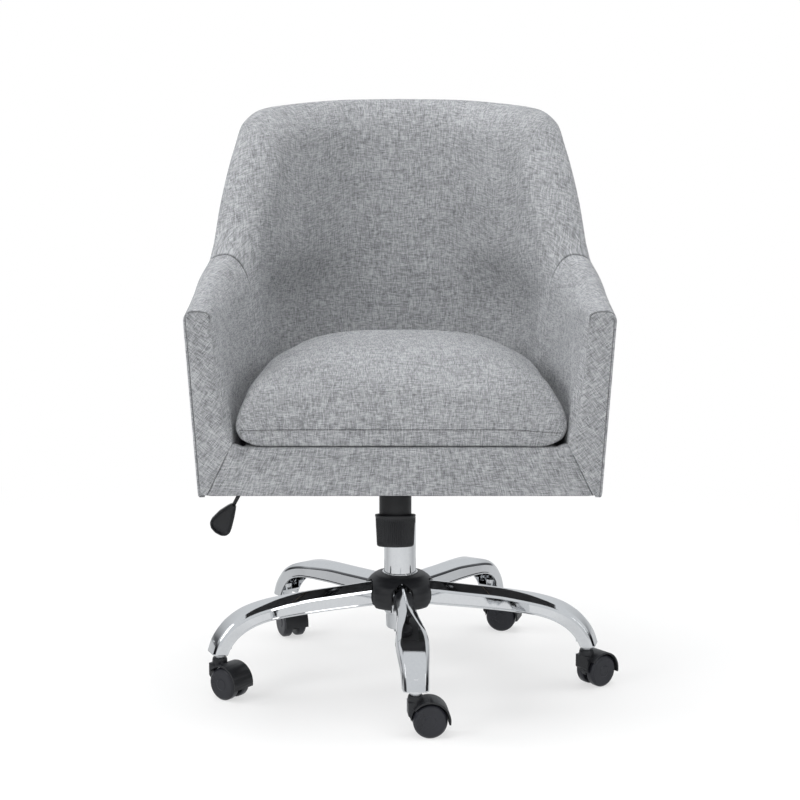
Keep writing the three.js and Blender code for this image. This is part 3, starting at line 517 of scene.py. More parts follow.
def half_width(z):
    z = np.asarray(z, float)
    return np.where(z < ARM_Z, 289 + 17 * (z - BOTTOM) / (ARM_Z - BOTTOM), 306 + np.minimum(1, (z - ARM_Z) / 100))


def back_y(z):
    return 250 + 0.143 * (np.asarray(z, float) - BOTTOM)


def _curve_table():
    a, b = 306.0, float(back_y(650)) - CURVE_Y
    th = np.linspace(0, math.pi / 2, 401)
    x = -a * np.maximum(0, np.cos(th)) ** (2 / POWER)
    y = b * np.sin(th) ** (2 / POWER)
    s = np.concatenate([[0], np.cumsum(np.hypot(np.diff(x), np.diff(y)))])
    return th, s


_TH, _SL = _curve_table()


def theta(u):
    return np.interp((np.asarray(u, float) - U_STRAIGHT) / (1 - U_STRAIGHT) * _SL[-1], _SL, _TH)


def outline(u, z):
    z = np.asarray(z, float)
    a, b = half_width(z), back_y(z) - CURVE_Y
    if u <= U_STRAIGHT:
        return -a, np.full_like(a, FRONT + (CURVE_Y - FRONT) * u / U_STRAIGHT)
    t = float(theta(u))
    c, s = max(0.0, math.cos(t)), max(0.0, math.sin(t))
    return -a * c ** (2 / POWER), CURVE_Y + b * s ** (2 / POWER)


def inward(u, z):
    e = 1e-3
    px, py = outline(max(0, u - e), z)
    qx, qy = outline(min(1, u + e), z)
    if u >= 1 - e:
        qx, qy = -px, py
    dx, dy = qx - px, qy - py
    l = np.hypot(dx, dy)
    return dy / l, -dx / l


def tub(u, n, z, side):
    """Points at depth n (array) and height z (array) of station u; n may be negative."""
    n, z = np.broadcast_arrays(np.asarray(n, float), np.asarray(z, float))
    px, py = outline(u, z)
    kx, ky = inward(u, z)
    x = np.minimum(px + kx * n, 0)
    y = py + ky * n
    return np.stack([x if side < 0 else -x, y, z], -1)


def monotone(table):
    xs = [p[0] for p in table]
    ys = [p[1] for p in table]
    n = len(xs)
    d = [(ys[i + 1] - ys[i]) / (xs[i + 1] - xs[i]) for i in range(n - 1)]
    m = [d[0]] + [0 if d[i - 1] * d[i] <= 0 else 2 * d[i - 1] * d[i] / (d[i - 1] + d[i]) for i in range(1, n - 1)] + [d[-1]]

    def f(x):
        if x <= xs[0]:
            return ys[0]
        if x >= xs[-1]:
            return ys[-1]
        i = 0
        while x > xs[i + 1]:
            i += 1
        h = xs[i + 1] - xs[i]
        t = (x - xs[i]) / h
        return (2 * t**3 - 3 * t**2 + 1) * ys[i] + (t**3 - 2 * t**2 + t) * h * m[i] + (3 * t**2 - 2 * t**3) * ys[i + 1] + (t**3 - t**2) * h * m[i + 1]
    return f


_UU = np.linspace(0, 1, 2001)
_UY = np.array([float(outline(u, 650.0)[1]) for u in _UU])
_UX = np.array([float(outline(u, 650.0)[0]) for u in _UU])
_UL = np.concatenate([[0], np.cumsum(np.hypot(np.diff(_UX), np.diff(_UY)))])


def u_at_y(y):
    return float(np.interp(y, _UY, _UU))


def length_at(u):
    return float(np.interp(u, _UU, _UL))


def u_at_length(s):
    return float(np.interp(s, _UL, _UU))


def table_u(table):
    top, ref = table[-1][0], float(back_y(650))
    return monotone([[1 if y >= top else u_at_y(FRONT + (y - FRONT) * (ref - FRONT) / (top - FRONT)), v] for y, v in table])


CORNER_T = [[-265, 0], [40, 0], [100, 10], [160, 24], [210, 28], [255, 22], [290, 12], [308, 4], [317, 0]]
crown, thick, drop, corner_fill = table_u(CROWN_T), table_u(THICK_T), table_u(DROP_T), table_u(CORNER_T)


def crown_slope(u):
    a, b = max(0, u - .004), min(1, u + .004)
    return (crown(b) - crown(a)) / max(1, length_at(b) - length_at(a))


def smooth01(t):
    t = np.clip(t, 0, 1)
    return t * t * (3 - 2 * t)


def pad_t(u, z):
    z = np.asarray(z, float)
    return thick(u) + np.where(z < ARM_Z, (ARM_Z - z) * 0.072, -(z - ARM_Z) * 0.045) + corner_fill(u) * smooth01((z - 560) / 120)


def seam_drop(u):
    return drop(u) * min(1.9, math.sqrt(1 + crown_slope(u) ** 2))


def seam_z(u):
    return crown(u) - seam_drop(u)


U_JOIN = u_at_y(24)


def seam_q(u):
    """How far the outer panel comes over the shoulder before its seam, as an angle."""
    return rad(30 - 26 * float(smooth01((u - 0.5) / 0.2)))


def soft(p, scale, seed):
    """Slow deterministic unevenness of stuffed cloth."""
    return noise.noise(Vector((p[0] * scale + seed, p[1] * scale - seed * .7, p[2] * scale + seed * .3)))


def roll_shape(u):
    """Crown depth, thickness below the roll, height of the roll and how square it is, at station u."""
    C, sl = crown(u), crown_slope(u)
    T0 = thick(u) - max(0.0, min(C, 640) - ARM_Z) * 0.045
    nc = T0 * (0.36 + 0.1 * min(1, u / 0.5))
    grow = float(smooth01(u / 0.24))
    inn = min(74, T0 * (0.44 + 0.46 * grow) * min(1.55, math.sqrt(1 + sl * sl)))
    return nc, float(pad_t(u, C - inn)), inn, 2.0 + 1.1 * (1 - float(smooth01(u / 0.2)))


def shoulder(u, q):
    """Point of the section between the outer face (q=0) and the crown (q=90 deg)."""
    C, S = crown(u), seam_z(u)
    nc = roll_shape(u)[0]
    return nc * (1 - np.cos(q)), S + (C - S) * np.sin(q)


def inner_face(u, count_q, z_list_end, count_z):
    C = crown(u)
    nc, T, inn, p = roll_shape(u)
    q = np.linspace(0, math.pi / 2, count_q)
    n1 = nc + (T - nc) * np.sin(q) ** (2 / p)
    z1 = C - inn * (1 - np.maximum(0, np.cos(q)) ** (2 / p))
    # even steps along the roll
    al = np.concatenate([[0], np.cumsum(np.hypot(np.diff(n1), np.diff(z1)))])
    qq = np.linspace(0, math.pi / 2, 400)
    nf = nc + (T - nc) * np.sin(qq) ** (2 / p)
    zf = C - inn * (1 - np.maximum(0, np.cos(qq)) ** (2 / p))
    lf = np.concatenate([[0], np.cumsum(np.hypot(np.diff(nf), np.diff(zf)))])
    want = np.linspace(0, lf[-1], count_q)
    n1, z1 = np.interp(want, lf, nf), np.interp(want, lf, zf)
    z2 = np.linspace(C - inn, z_list_end, count_z + 1)[1:]
    return np.concatenate([n1, pad_t(u, z2)]), np.concatenate([z1, z2])


_CU = np.linspace(0, 1, 500)
_CP = np.array([tub(u, float(pad_t(u, 560)), 560.0, -1).reshape(3) for u in _CU])
_CL = np.concatenate([[0], np.cumsum(np.linalg.norm(np.diff(_CP, axis=0), axis=1))])


def cloth_length(u):
    """Distance round the tub as the cloth lies, mostly as on the inside."""
    return 0.3 * length_at(u) + 0.7 * float(np.interp(u, _CU, _CL))


def cloth_path(u, n, z):
    """Weave distances along a section that runs from the lower inner edge up and over the sloping crown, as one cloth folded over it."""
    a, b = max(0, u - .004), min(1, u + .004)
    s = (crown(b) - crown(a)) / max(1, cloth_length(b) - cloth_length(a)) if u < 0.998 else 0.0
    k = 1 + s * s
    dn, dz = np.abs(np.diff(n)), np.diff(z)
    over = np.where(dz < 0, -dz, 0)
    du = -s / math.sqrt(k) * dn - 2 * s / k * over
    dv = dn / math.sqrt(k) + np.where(dz < 0, (1 - s * s) / k * over, dz)
    return np.concatenate([[0], np.cumsum(du)]), np.concatenate([[0], np.cumsum(dv)])


def arc_lengths(n, z):
    return np.concatenate([[0], np.cumsum(np.hypot(np.diff(n), np.diff(z)))])


# ------------------------------------------------------------ outer panel
R_EDGE, R_ROLL = 1.9, 1.2


def outer_panel():
    """Cloth drawn over the outside of the tub, round its front edges and under its lower edge."""

    straight = [U_STRAIGHT * ((R_EDGE + d) / 165) for d in (0, 3, 7)]
    us = straight + [u_at_length(s) for s in np.arange(length_at(straight[-1]) + 4, length_at(1.0) - 2, 4.2)] + [1.0]
    stations = [("tuck2", 0), ("tuck1", 0), ("tuck0", 0), ("flat", 0)] + [("arc", k) for k in (90, 72, 54, 36, 18)] + [("u", u) for u in us]
    NS, hem = 66, [(10, 345.25), (6, 345.25), (3.2, 345.25), (1.75, 345.65), (0.65, 346.6), (0.12, 347.6), (0.0, 348.8)]
    rows, weave = [], []

    def profile(u):
        S, qs = seam_z(u), seam_q(u)
        zz = np.linspace(348.8, S, NS)[1:]
        q = np.linspace(0, qs, 8)[1:]
        nq, zq = shoulder(u, q)
        n = np.concatenate([[h[0] for h in hem], np.zeros(len(zz)), nq])
        z = np.concatenate([[h[1] for h in hem], zz, zq])
        # a little slack in the cloth between its fixed edges, given zero depth
        t = (z - 349) / (S - 349)
        n = n + np.where((z > 349) & (z < S), -0.0, 0) * t
        # roll into the seam
        tx, tz = n[-1] - n[-2], z[-1] - z[-2]
        l = math.hypot(tx, tz)
        tx, tz = tx / l, tz / l
        kx, kz = tz, -tx
        for psi in (30, 60, 88):
            q1 = rad(psi)
            n = np.append(n, nq[-1] + R_ROLL * (math.sin(q1) * tx + (1 - math.cos(q1)) * kx))
            z = np.append(z, zq[-1] + R_ROLL * (math.sin(q1) * tz + (1 - math.cos(q1)) * kz))
        n = np.append(n, n[-1] + 1.6 * kx)
        z = np.append(z, z[-1] + 1.6 * kz)
        return n, z

    u0 = straight[0]
    for kind, v in stations:
        if kind == "u":
            n, z = profile(v)
            p = tub(v, n, z, -1)
            s = length_at(v)
        else:
            n, z = profile(u0)
            a = half_width(z)
            nh = np.where(np.arange(len(n)) < len(hem), n, 0.0)
            nt_ = n - nh
            if kind == "arc":
                q = rad(v)
                p = np.stack([-a + nt_ + nh * math.cos(q) + R_EDGE * (1 - math.cos(q)), FRONT + R_EDGE * (1 - math.sin(q)) + nh * math.sin(q), z], -1)
                s = R_EDGE * (1 - q)
            else:
                flat = {"flat": 0.25, "tuck0": 0.25 + 0.6, "tuck1": 0.25 + 1.0, "tuck2": 0.25 + R_ROLL}[kind]
                deep = {"flat": 0.0, "tuck0": 0.16, "tuck1": 0.6, "tuck2": R_ROLL + 1.2}[kind]
                p = np.stack([-a + nt_ + R_EDGE + flat, FRONT + deep + nh, z], -1)
                s = -R_EDGE - flat
        rows.append(p)
        al = arc_lengths(n, z)
        weave.append(np.stack([np.full(len(z), s), al, np.zeros(len(z))], -1))
    rows_all = rows + [np.stack([-r[:, 0], r[:, 1], r[:, 2]], -1) for r in rows[:-1][::-1]]
    total = weave[-1][:, 0].max()
    w_all = weave + [np.stack([2 * total - w[:, 0], w[:, 1], w[:, 2]], -1) for w in weave[:-1][::-1]]
    nv = len(rows[0])
    V, W = np.concatenate(rows_all), np.concatenate(w_all)
    # hand-drawn cloth: very slight unevenness, more near the corners and the hem
    for i, p in enumerate(V):
        d = 0.45 * soft(p, 0.012, 3.1) + 0.22 * soft(p, 0.04, 8.3)
        low = math.exp(-((p[2] - 345) / 9.0) ** 2)
        if p[2] > 345.6:
            ang = math.atan2(p[1], p[0])
            V[i][0] -= math.cos(ang) * max(0, d + .35) * 0.5
            V[i][1] -= math.sin(ang) * max(0, d + .35) * 0.5 * (0 if p[1] < -258 else 1)
        # fold of cloth at the two front corners of the lower edge, given zero depth
        fold = math.exp(-((abs(p[0]) - 277) / 7.0) ** 2) * (1 if p[1] < -255 else 0) * low
        V[i][2] -= 0.0 * fold
    me = mesh_from("outer_panel", row(V), grid(len(rows_all), nv), recalc=False)
    o = finish_piece("outer_panel", me, FABRIC_OUT, "seat", ("outer_shell",), W)
    # make sure that the cloth's outside faces out before it gets its thickness
    mid = me.polygons[len(me.polygons) // 2]
    far = max(me.polygons, key=lambda f: f.center.y)
    if far.normal.y < 0:
        me.flip_normals()
    sol = o.modifiers.new("thickness", "SOLIDIFY")
    sol.thickness = 0.0022
    sol.offset = -1
    sol.use_even_offset = False
    sol.use_rim = True
    return o


outer_panel()


# ------------------------------------------------------------- back pad
def pad_section_line(u, nq1=16, nq2=20, nz=74, z_end=361.0, fade=1.0):
    """Visible line of the upholstery from the outer seam over the crown and down the inside, starting with its roll out of the seam."""
    qs = seam_q(u)
    S, C = seam_z(u), crown(u)
    q = np.linspace(qs, math.pi / 2, nq1 * 3)
    n, z = shoulder(u, q)
    al = arc_lengths(n, z)
    # even steps, with close ones at the seam
    want = np.concatenate([[1.6, 2.0, 2.7, 3.6, 5.0], np.linspace(7.0, al[-1], nq1)])
    n1, z1 = np.interp(want, al, n), np.interp(want, al, z)
    t = np.stack([np.gradient(n1), np.gradient(z1)], -1)
    t /= np.linalg.norm(t, axis=1)[:, None]
    arc = want - 1.6
    deep = np.where(arc < R_ROLL, R_ROLL - np.sqrt(np.maximum(0, R_ROLL**2 - (R_ROLL - arc) ** 2)), 0)
    n1 = n1 + t[:, 1] * deep
    z1 = z1 - t[:, 0] * deep
    start = [[n1[0] + t[0, 1] * 2.2, z1[0] - t[0, 0] * 2.2]]
    n2, z2 = inner_face(u, nq2 + 1, z_end, nz)
    return np.concatenate([[start[0][0]], n1, n2[1:]]), np.concatenate([[start[0][1]], z1, z2[1:]])


def back_cover():
    L0, L1 = length_at(U_JOIN), length_at(1.0)
    ls = [L0 + 0.35, L0 + 0.55, L0 + 1.0, L0 + 1.7, L0 + 2.8, L0 + 4.5, L0 + 7]
    ls += list(np.linspace(L0 + 10, L1, 118))
    rows, weave, seam = [], [], []
    for k, s in enumerate(ls):
        u = u_at_length(s) if k < len(ls) - 1 else 1.0
        n, z = pad_section_line(u)
        al = arc_lengths(n, z)
        zc = crown(U_JOIN)
        # roll into the seam with the arm: deep on top, closed further down the inside
        d = s - L0 - 0.35
        r = 2.6
        roll = r - math.sqrt(max(0, r * r - (r - min(d, r)) ** 2))
        fadev = np.clip((z - (zc - 62)) / 50, 0.0, 1) ** 1.3
        line = n.copy()
        t = np.stack([np.gradient(n), np.gradient(z)], -1)
        t /= np.linalg.norm(t, axis=1)[:, None]
        n = n + t[:, 1] * roll * fadev
        z = z - t[:, 0] * roll * fadev
        cu_, cv_ = cloth_path(u, n[::-1], z[::-1])
        # hidden return along the frame: underside and behind
        n = np.concatenate([n, [pad_t(u, 361.0) - 6, 27.0, 21.3, 21.3, 21.3, 12.0]])
        S = seam_z(u)
        nb, zb = n[0], z[0]
        z = np.concatenate([z, [361.0, 361.0, 361.0, 0.5 * (361 + S), S - 2.0, S - 1.2 + 0.0]])
        p = tub(u, n, z, -1)
        if k == 1:
            away = rows[0] - p
            away /= np.maximum(1e-6, np.linalg.norm(away, axis=1))[:, None]
            fd = np.concatenate([np.clip(fadev * 1.6, 0, 1), np.ones(6)])
            rows[0] = rows[0] + away * (0.31 * (1 - fd))[:, None]
        rows.append(p)
        hid = np.array([6, 20, 30, 100, 200, 210.])
        weave.append(np.stack([cloth_length(u) + np.concatenate([cu_[::-1], 0 * hid]), np.concatenate([cv_[::-1], -hid]), np.zeros(len(n))], -1))
        # painted shade for the crease of the seam with the arm: as strong as the roll is deep, fading down the inside
        # and away from the seam
        seam.append(np.concatenate([np.clip(fadev * 1.3, 0, 1), np.ones(6)]) * math.exp(-(max(0.0, d - 0.4) / 1.1) ** 2))
    rows_all = rows + [np.stack([-r[:, 0], r[:, 1], r[:, 2]], -1) for r in rows[:-1][::-1]]
    C1 = cloth_length(1.0)
    w_all = weave + [np.stack([2 * C1 - w[:, 0], w[:, 1], w[:, 2]], -1) for w in weave[:-1][::-1]]
    seam = np.concatenate(seam + seam[:-1][::-1])
    nv = len(rows[0])
    V, W = np.concatenate(rows_all), np.concatenate(w_all)
    m = 22 + 20 + 74
    for i, p in enumerate(V):
        j = i % nv
        if 3 < j < m:
            k = min(1, (j - 3) / 10)
            h = 1.15 * soft(p, 0.010, 1.7) + 0.55 * soft(p, 0.024, 5.9)
            dx, dy = -p[0], -60 - p[1]
            l = math.hypot(dx, dy) or 1
            V[i][0] += dx / l * h * k
            V[i][1] += dy / l * h * k
    nu = len(rows_all)
    F = grid(nu, nv, cv=True)
    F.append(tuple(range(nv)))
    F.append(tuple(range((nu - 1) * nv, nu * nv)))
    o = piece("back_cushioning", V, F, FABRIC, "seat", ("back_pad",), weave=W, seam=seam)
    return o


back_cover()

# ----------------------------------------------------------------- arms
K_LADDER = 14
N_LOW, N_STRAIGHT = 80, 10


def arm_ring(u, front_zone):
    """Closed section of an arm, as depth and height: outer side upwards, crown, inner side downwards, lower edge."""
    n, z = pad_section_line(u, z_end=421.0)
    sh = 22
    if front_zone:
        zl = np.linspace(346.0, z[0] - 2.5, N_LOW)
        low_n, low_z = np.full(N_LOW, 3.75), zl
        d_n, d_z = np.linspace(float(pad_t(u, 421)), 12.9, 18)[1:], np.linspace(421, 346.0, 18)[1:]
    else:
        S = seam_z(u)
        low_n, low_z = np.full(N_LOW, 21.3), np.linspace(361.0, S - 2, N_LOW)
        d_z = np.linspace(421, 361.0, 18)[1:]
        d_n = pad_t(u, d_z)
    up_n = np.linspace(low_n[-1], n[0], N_STRAIGHT + 1)[1:]
    up_z = np.linspace(low_z[-1], z[0], N_STRAIGHT + 1)[1:]
    on = np.concatenate([low_n, up_n[:-1], n[:sh]])
    oz = np.concatenate([low_z, up_z[:-1], z[:sh]])
    # n[:sh] ends at the crown; the rest is the inner side
    inn, inz = np.concatenate([n[sh:], d_n]), np.concatenate([z[sh:], d_z])
    bn = np.linspace(inn[-1], on[0], K_LADDER + 1)[1:-1]
    bz = np.full(K_LADDER - 1, oz[0])
    return np.concatenate([on, inn, bn]), np.concatenate([oz, inz, bz]), len(on), len(inn)


def arm(side, name, node):
    n0, z0, A, B = arm_ring(0.0, True)
    m = len(n0)
    # A counts the crown as its last point; the inner side has B points
    idx = np.arange(m)
    apex = A - 1
    lo = N_LOW + N_STRAIGHT - 1
    # radius of the front edge round the section
    r = np.full(m, 1.3)
    q = smooth01((idx - lo) / 16.0)
    r = np.where((idx >= lo) & (idx <= apex), 1.3 + 4.2 * q, r)
    t = (idx - apex - 8) / 44.0
    r = np.where(idx > apex, 5.5 + 12.5 * smooth01(t), r)
    end_face = apex + B - 17
    r = np.where(idx > end_face - 12, 18.0 - 16.7 * smooth01((idx - end_face + 12) / 12.0), r)
    r = np.where(idx >= end_face, 1.3, r)
    top_seam = smooth01((idx - lo - 1) / 4.0) * (1 - smooth01((idx - apex - 13) / 14.0))
    # inward direction in the section plane
    P = np.stack([n0, z0], -1)
    tan = np.roll(P, -3, 0) - np.roll(P, 3, 0)
    tan /= np.linalg.norm(tan, axis=1)[:, None]
    area = np.sum(P[:, 0] * np.roll(P[:, 1], -1) - np.roll(P[:, 0], -1) * P[:, 1])
    nor = np.stack([-tan[:, 1], tan[:, 0]], -1) * (1 if area > 0 else -1)
    rings, weave = [], []
    al = np.concatenate([[0], np.cumsum(np.hypot(np.diff(n0), np.diff(z0)))])

    def place(n, z, y):
        return np.stack([-half_width(z) + n, np.full(m, 0.0) + y, z], -1)

    # front rings, from the flat face outwards
    cap = []
    for phi in (90, 80, 71, 66, 62, 58, 53, 44, 33, 22, 11):
        f = rad(phi)
        ins = r * (1 - math.cos(f))
        y = FRONT + r * (1 - math.sin(f))
        g = {66: 0.55, 62: 1.0, 58: 0.55}.get(phi, 0.0) * 1.9 * top_seam
        # painted shade: seam weights darken the cloth along the groove of the top seam
        cap.append((n0 + nor[:, 0] * ins, z0 + nor[:, 1] * ins, y + g * math.sin(f), g * math.cos(f), r - r * f, {71: 0.3, 66: 0.75, 62: 1.0, 58: 0.75, 53: 0.3}.get(phi, 0.0) * top_seam))
    seam, along, down, at_u = [], [], [], []
    for n, z, y, g, aw, sv in cap:
        n = n + nor[:, 0] * g
        z = z + nor[:, 1] * g
        rings.append(place(n, z, y))
        along.append(aw)
        at_u.append(0.0)
        down.append((n, z))
        seam.append(sv)
    first = rings[0]
    # body of the arm
    stations = [("mix", 0.0), ("mix", 0.35), ("mix", 0.7), ("front", 14.4), ("front", 15.7), ("back", 15.95)]
    L = [length_at(U_STRAIGHT * 19.0 / 165)]
    L0, L1 = L[0], length_at(U_JOIN)
    ls = list(np.linspace(L0, L1 - 10, 76)) + [L1 - 7, L1 - 4.5, L1 - 2.8, L1 - 1.7, L1 - 1.0, L1 - 0.55, L1 - 0.35]
    behind = 0
    for kind, v in stations:
        if kind == "mix":
            y = np.maximum(r + (14.0 - r) * v, r + 0.15 * (v / 0.35))
            n, z, _, _ = arm_ring(U_STRAIGHT * 7.0 * v / 165, True)
            rings.append(place(n, z, FRONT + y))
            along.append(y)
            at_u.append(0.0)
            down.append((n, z))
            seam.append(np.zeros(m))
        else:
            u = U_STRAIGHT * v / 165
            n, z, _, _ = arm_ring(u, kind == "front")
            behind += 1
            rings.append(place(n, z, FRONT + np.maximum(v, r + 0.3 + 0.25 * behind)))
            along.append(np.maximum(v, r + 0.3 + 0.25 * behind))
            at_u.append(u)
            down.append((n, z))
            seam.append(np.zeros(m))
    zc = crown(U_JOIN)
    for s in ls:
        u = u_at_length(s)
        n, z, _, _ = arm_ring(u, False)
        d = L1 - 0.35 - s
        rr = 2.6
        roll = rr - math.sqrt(max(0, rr * rr - (rr - min(d, rr)) ** 2))
        fade = np.clip((z - (zc - 62)) / 50, 0.0, 1) ** 1.3
        tt = np.stack([np.gradient(n), np.gradient(z)], -1)
        tt /= np.maximum(1e-6, np.linalg.norm(tt, axis=1))[:, None]
        act = (idx >= lo) & (idx < end_face)
        n = n + np.where(act, tt[:, 1] * roll * fade, 0)
        z = z - np.where(act, tt[:, 0] * roll * fade, 0)
        ring = tub(u, n, z, -1)
        if s < L0 + 12:
            behind += 1
            ring[:, 1] = np.maximum(ring[:, 1], FRONT + r + 0.3 + 0.25 * behind)
        if s > L1 - 0.4:
            step = ring - rings[-1]
            step /= np.linalg.norm(step, axis=1)[:, None]
            ring = ring + step * (0.31 * (1 - np.clip(fade * 1.6, 0, 1)))[:, None]
        rings.append(ring)
        at_u.append(u)
        along.append(np.maximum(np.full(m, cloth_length(u) - cloth_length(U_STRAIGHT * 19.0 / 165) + 19.0), (r + 0.3 + 0.25 * behind) if s < L0 + 12 else 0.0))
        down.append((n, z))
        # painted shade for the crease of the seam with the back, fading where the roll closes
        seam.append(np.where(act, np.clip(fade * 1.3, 0, 1), 0.0) * math.exp(-(max(0.0, d - 0.4) / 1.1) ** 2))
    V = np.concatenate(rings)
    nu = len(rings)
    # distance along the arm and up from the lower inner edge, for the weave
    W = np.zeros((nu * m, 3))
    W[:, 0] = np.concatenate(along)
    ups, acr = [], []
    e_ = apex + B - 1
    for i, (n, z) in enumerate(down):
        x_, y_ = cloth_path(at_u[i], n[:e_ + 1][::-1], z[:e_ + 1][::-1])
        rest_ = arc_lengths(n[e_:], z[e_:])[1:]
        ups.append(np.concatenate([y_[::-1], -rest_]))
        acr.append(np.concatenate([x_[::-1], 0 * rest_]))
    W[:, 0] += np.concatenate(acr)
    W[:, 1] = np.concatenate(ups)
    seam = np.concatenate(seam)
    ncap = len(cap)
    # front panel: its cloth is cut on the bias
    ca, sa = math.cos(rad(38)), math.sin(rad(38))
    for i in range(6):
        for j in range(m):
            p = V[i * m + j]
            W[i * m + j] = (ca * p[0] - sa * p[2], sa * p[0] + ca * p[2], 40)
    # unevenness
    for i in range(nu):
        for j in range(m):
            k = i * m + j
            p = V[k]
            if lo + 3 < j < end_face - 2 and i >= ncap:
                w = min(1, (j - lo - 3) / 8) * min(1, (end_face - 2 - j) / 6) * min(1, (i - ncap) / 6)
                h = (0.9 * soft((p[0], p[1], p[2]), 0.013, 2.2 + side) + 0.4 * soft(p, 0.035, 6.1 + side)) * w
                V[k] = p + np.array([h, 0, 0.25 * h])
    F = grid(nu, m, cv=True)
    # flat face of the front panel, as a ladder between the two sides
    base = len(V)
    add_v, add_w = [], []
    rows_n = A - 1
    left = list(range(0, rows_n))                       # outer side, upwards
    right = [apex + B - i for i in range(0, rows_n)]    # inner side, matching upwards
    bottom = [apex + B + K_LADDER - 1 - k for k in range(1, K_LADDER)]
    ids = []
    for i in range(rows_n):
        a, b = first[left[i]], first[right[i]]
        rowi = [left[i]]
        for k in range(1, K_LADDER):
            if i == 0:
                rowi.append(bottom[k - 1])
                continue
            t = k / K_LADDER
            t = t + 0.10 * math.sin(2 * math.pi * t) * -0.5
            p = a * (1 - t) + b * t
            edge = min(1.0, min(np.linalg.norm(p - a), np.linalg.norm(p - b)) / 9.0)
            low = smooth01((p[2] - 350) / 12) * (1 - smooth01((p[2] - 596) / 14))
            h = (0.7 + 0.6 * soft(p, 0.02, 9.4 + side)) * edge * low
            p = p + np.array([0, -h, 0])
            rowi.append(base + len(add_v))
            add_v.append(p)
            add_w.append((ca * p[0] - sa * p[2], sa * p[0] + ca * p[2], 40))
        rowi.append(right[i])
        ids.append(rowi)
    for i in range(rows_n - 1):
        for k in range(K_LADDER):
            F.append((ids[i][k], ids[i][k + 1], ids[i + 1][k + 1], ids[i + 1][k]))
    for k in range(K_LADDER):
        F.append((ids[-1][k], ids[-1][k + 1], apex))
    F.append(tuple(range((nu - 1) * m, nu * m)))
    V = np.concatenate([V, np.array(add_v)])
    W = np.concatenate([W, np.array(add_w)])
    seam = np.concatenate([seam, np.zeros(len(add_v))])
    if side > 0:
        V[:, 0] *= -1
        W[:, 0] *= -1
    o = piece(name, V, F, FABRIC, "seat", (node,), weave=W, seam=seam)
    return o


arm(-1, "arm_cushioning_left", "arm_left")
arm(1, "arm_cushioning_right", "arm_right")


# ---------------------------------------------------- front rail, platform
def front_rail():
    def half(z):
        t = (z - 345.4) / (421 - 345.4)
        return (1 - t) * (289.0 - 13.1) + t * (float(half_width(421)) - float(pad_t(0, 421)) - 0.2)

    sec = fillet([(-250.4, 345.5), (FRONT + 0.4, 345.5), (FRONT + 0.4, 415.2), (-250.4, 415.2)], [0.6, 2.6, 7.5, 0.6], 8)
    # fine points up the face
    pts = []
    for i, p in enumerate(sec):
        q = sec[(i + 1) % len(sec)]
        pts.append(p)
        d = math.hypot(q[0] - p[0], q[1] - p[1])
        for k in range(1, int(d // 2.4)):
            t = k / int(d // 2.4)
            pts.append((p[0] + (q[0] - p[0]) * t, p[1] + (q[1] - p[1]) * t))
    pts = np.array(pts)
    m = len(pts)
    roll = [0.0, 0.35, 0.8, 1.4, 2.1, 3.2]
    ts = roll + list(np.linspace(6, 545, 200)[:-1])
    rows, weave = [], []
    total = 551.0
    ss = [s for s in roll] + list(np.linspace(5.5, total - 5.5, 208)) + [total - s for s in roll[::-1]]
    al = np.concatenate([[0], np.cumsum(np.hypot(*np.diff(pts, axis=0).T))])
    for s in ss:
        t = s / total * 2 - 1
        e = min(s, total - s)
        d = 1.7 - math.sqrt(max(0, 1.7**2 - (1.7 - min(e, 1.7)) ** 2))
        ring = []
        for j, (y, z) in enumerate(pts):
            x = t * half(z)
            face = smooth01((-252 - y) / 6)
            yy = y + d * face * 1.15
            # fullness and the small gathers by the upper corners
            up = (z - 345.5) / 70
            b = -1.0 * math.sin(math.pi * np.clip(up, 0, 1)) * min(1, e / 30)
            p = (x, y, z)
            b += (0.75 * soft(p, 0.018, 4.4) + 0.35 * soft(p, 0.05, 2.7)) * min(1, e / 12)
            for cx, w, zt, ln, dep in ((-213.5, 3.6, 414, 17, 2.6), (-204, 7, 414, 34, -0.9), (-222.5, 6, 412, 40, -1.3), (-227, 3.2, 392, 18, 0.8),
                                       (236.0, 3.4, 418, 15, 2.2), (228, 6, 412, 30, -1.1), (218.5, 3.2, 412, 17, 1.3), (-96, 10, 414, 26, 0.6), (60, 12, 414, 26, 0.5)):
                lean = (zt - z) * 0.12 * (1 if cx < 0 else -1)
                g = math.exp(-(((x - cx) - lean * 0.5) / w) ** 2) * math.exp(-max(0, zt - z) / ln * 1.4)
                b += 2.1 * dep * g
            top = smooth01((z - 404) / 9)
            ring.append((x, yy + b * face, z + 4.2 * top * smooth01((abs(x) - 223) / 13)))
        rows.append(ring)
        weave.append([(t * 275, a, 3) for a in al])
    V = np.array(rows).reshape(-1, 3)
    W = np.array(weave).reshape(-1, 3)
    F = grid(len(rows), m, cv=True) + [tuple(range(m)), tuple(range((len(rows) - 1) * m, len(rows) * m))]
    o = piece("front_rail_cover", V, F, FABRIC, "seat", ("seat_deck",), weave=W)
    return o


front_rail()


def inside_line(extra, z, front, count=150, corner=16.0, zt=None):
    """Outline just inside the upholstery at height z, from the left front corner round the back to the right one, then closed along the front."""
    us = np.linspace(0.004, 1, count)
    pts = []
    for u in us:
        p = tub(u, float(pad_t(u, zt if zt else z)) + extra, z, -1).reshape(3)
        pts.append((min(p[0], 0.0), p[1]))
    left = [p for p in pts if p[1] > front + corner]
    x0 = left[0][0]
    arc = [(x0 + corner * (1 - math.cos(q)), front + corner * (1 - math.sin(q))) for q in np.linspace(0, math.pi / 2, 9)]
    half = arc[::-1] + left
    return np.array(half + [(-x, y) for x, y in half[:-1][::-1]])


def resample(loop, count):
    P = np.vstack([loop, loop[:1]])
    s = np.concatenate([[0], np.cumsum(np.hypot(*np.diff(P, axis=0).T))])
    t = np.linspace(0, s[-1], count + 1)[:-1]
    return np.stack([np.interp(t, s, P[:, 0]), np.interp(t, s, P[:, 1])], -1)


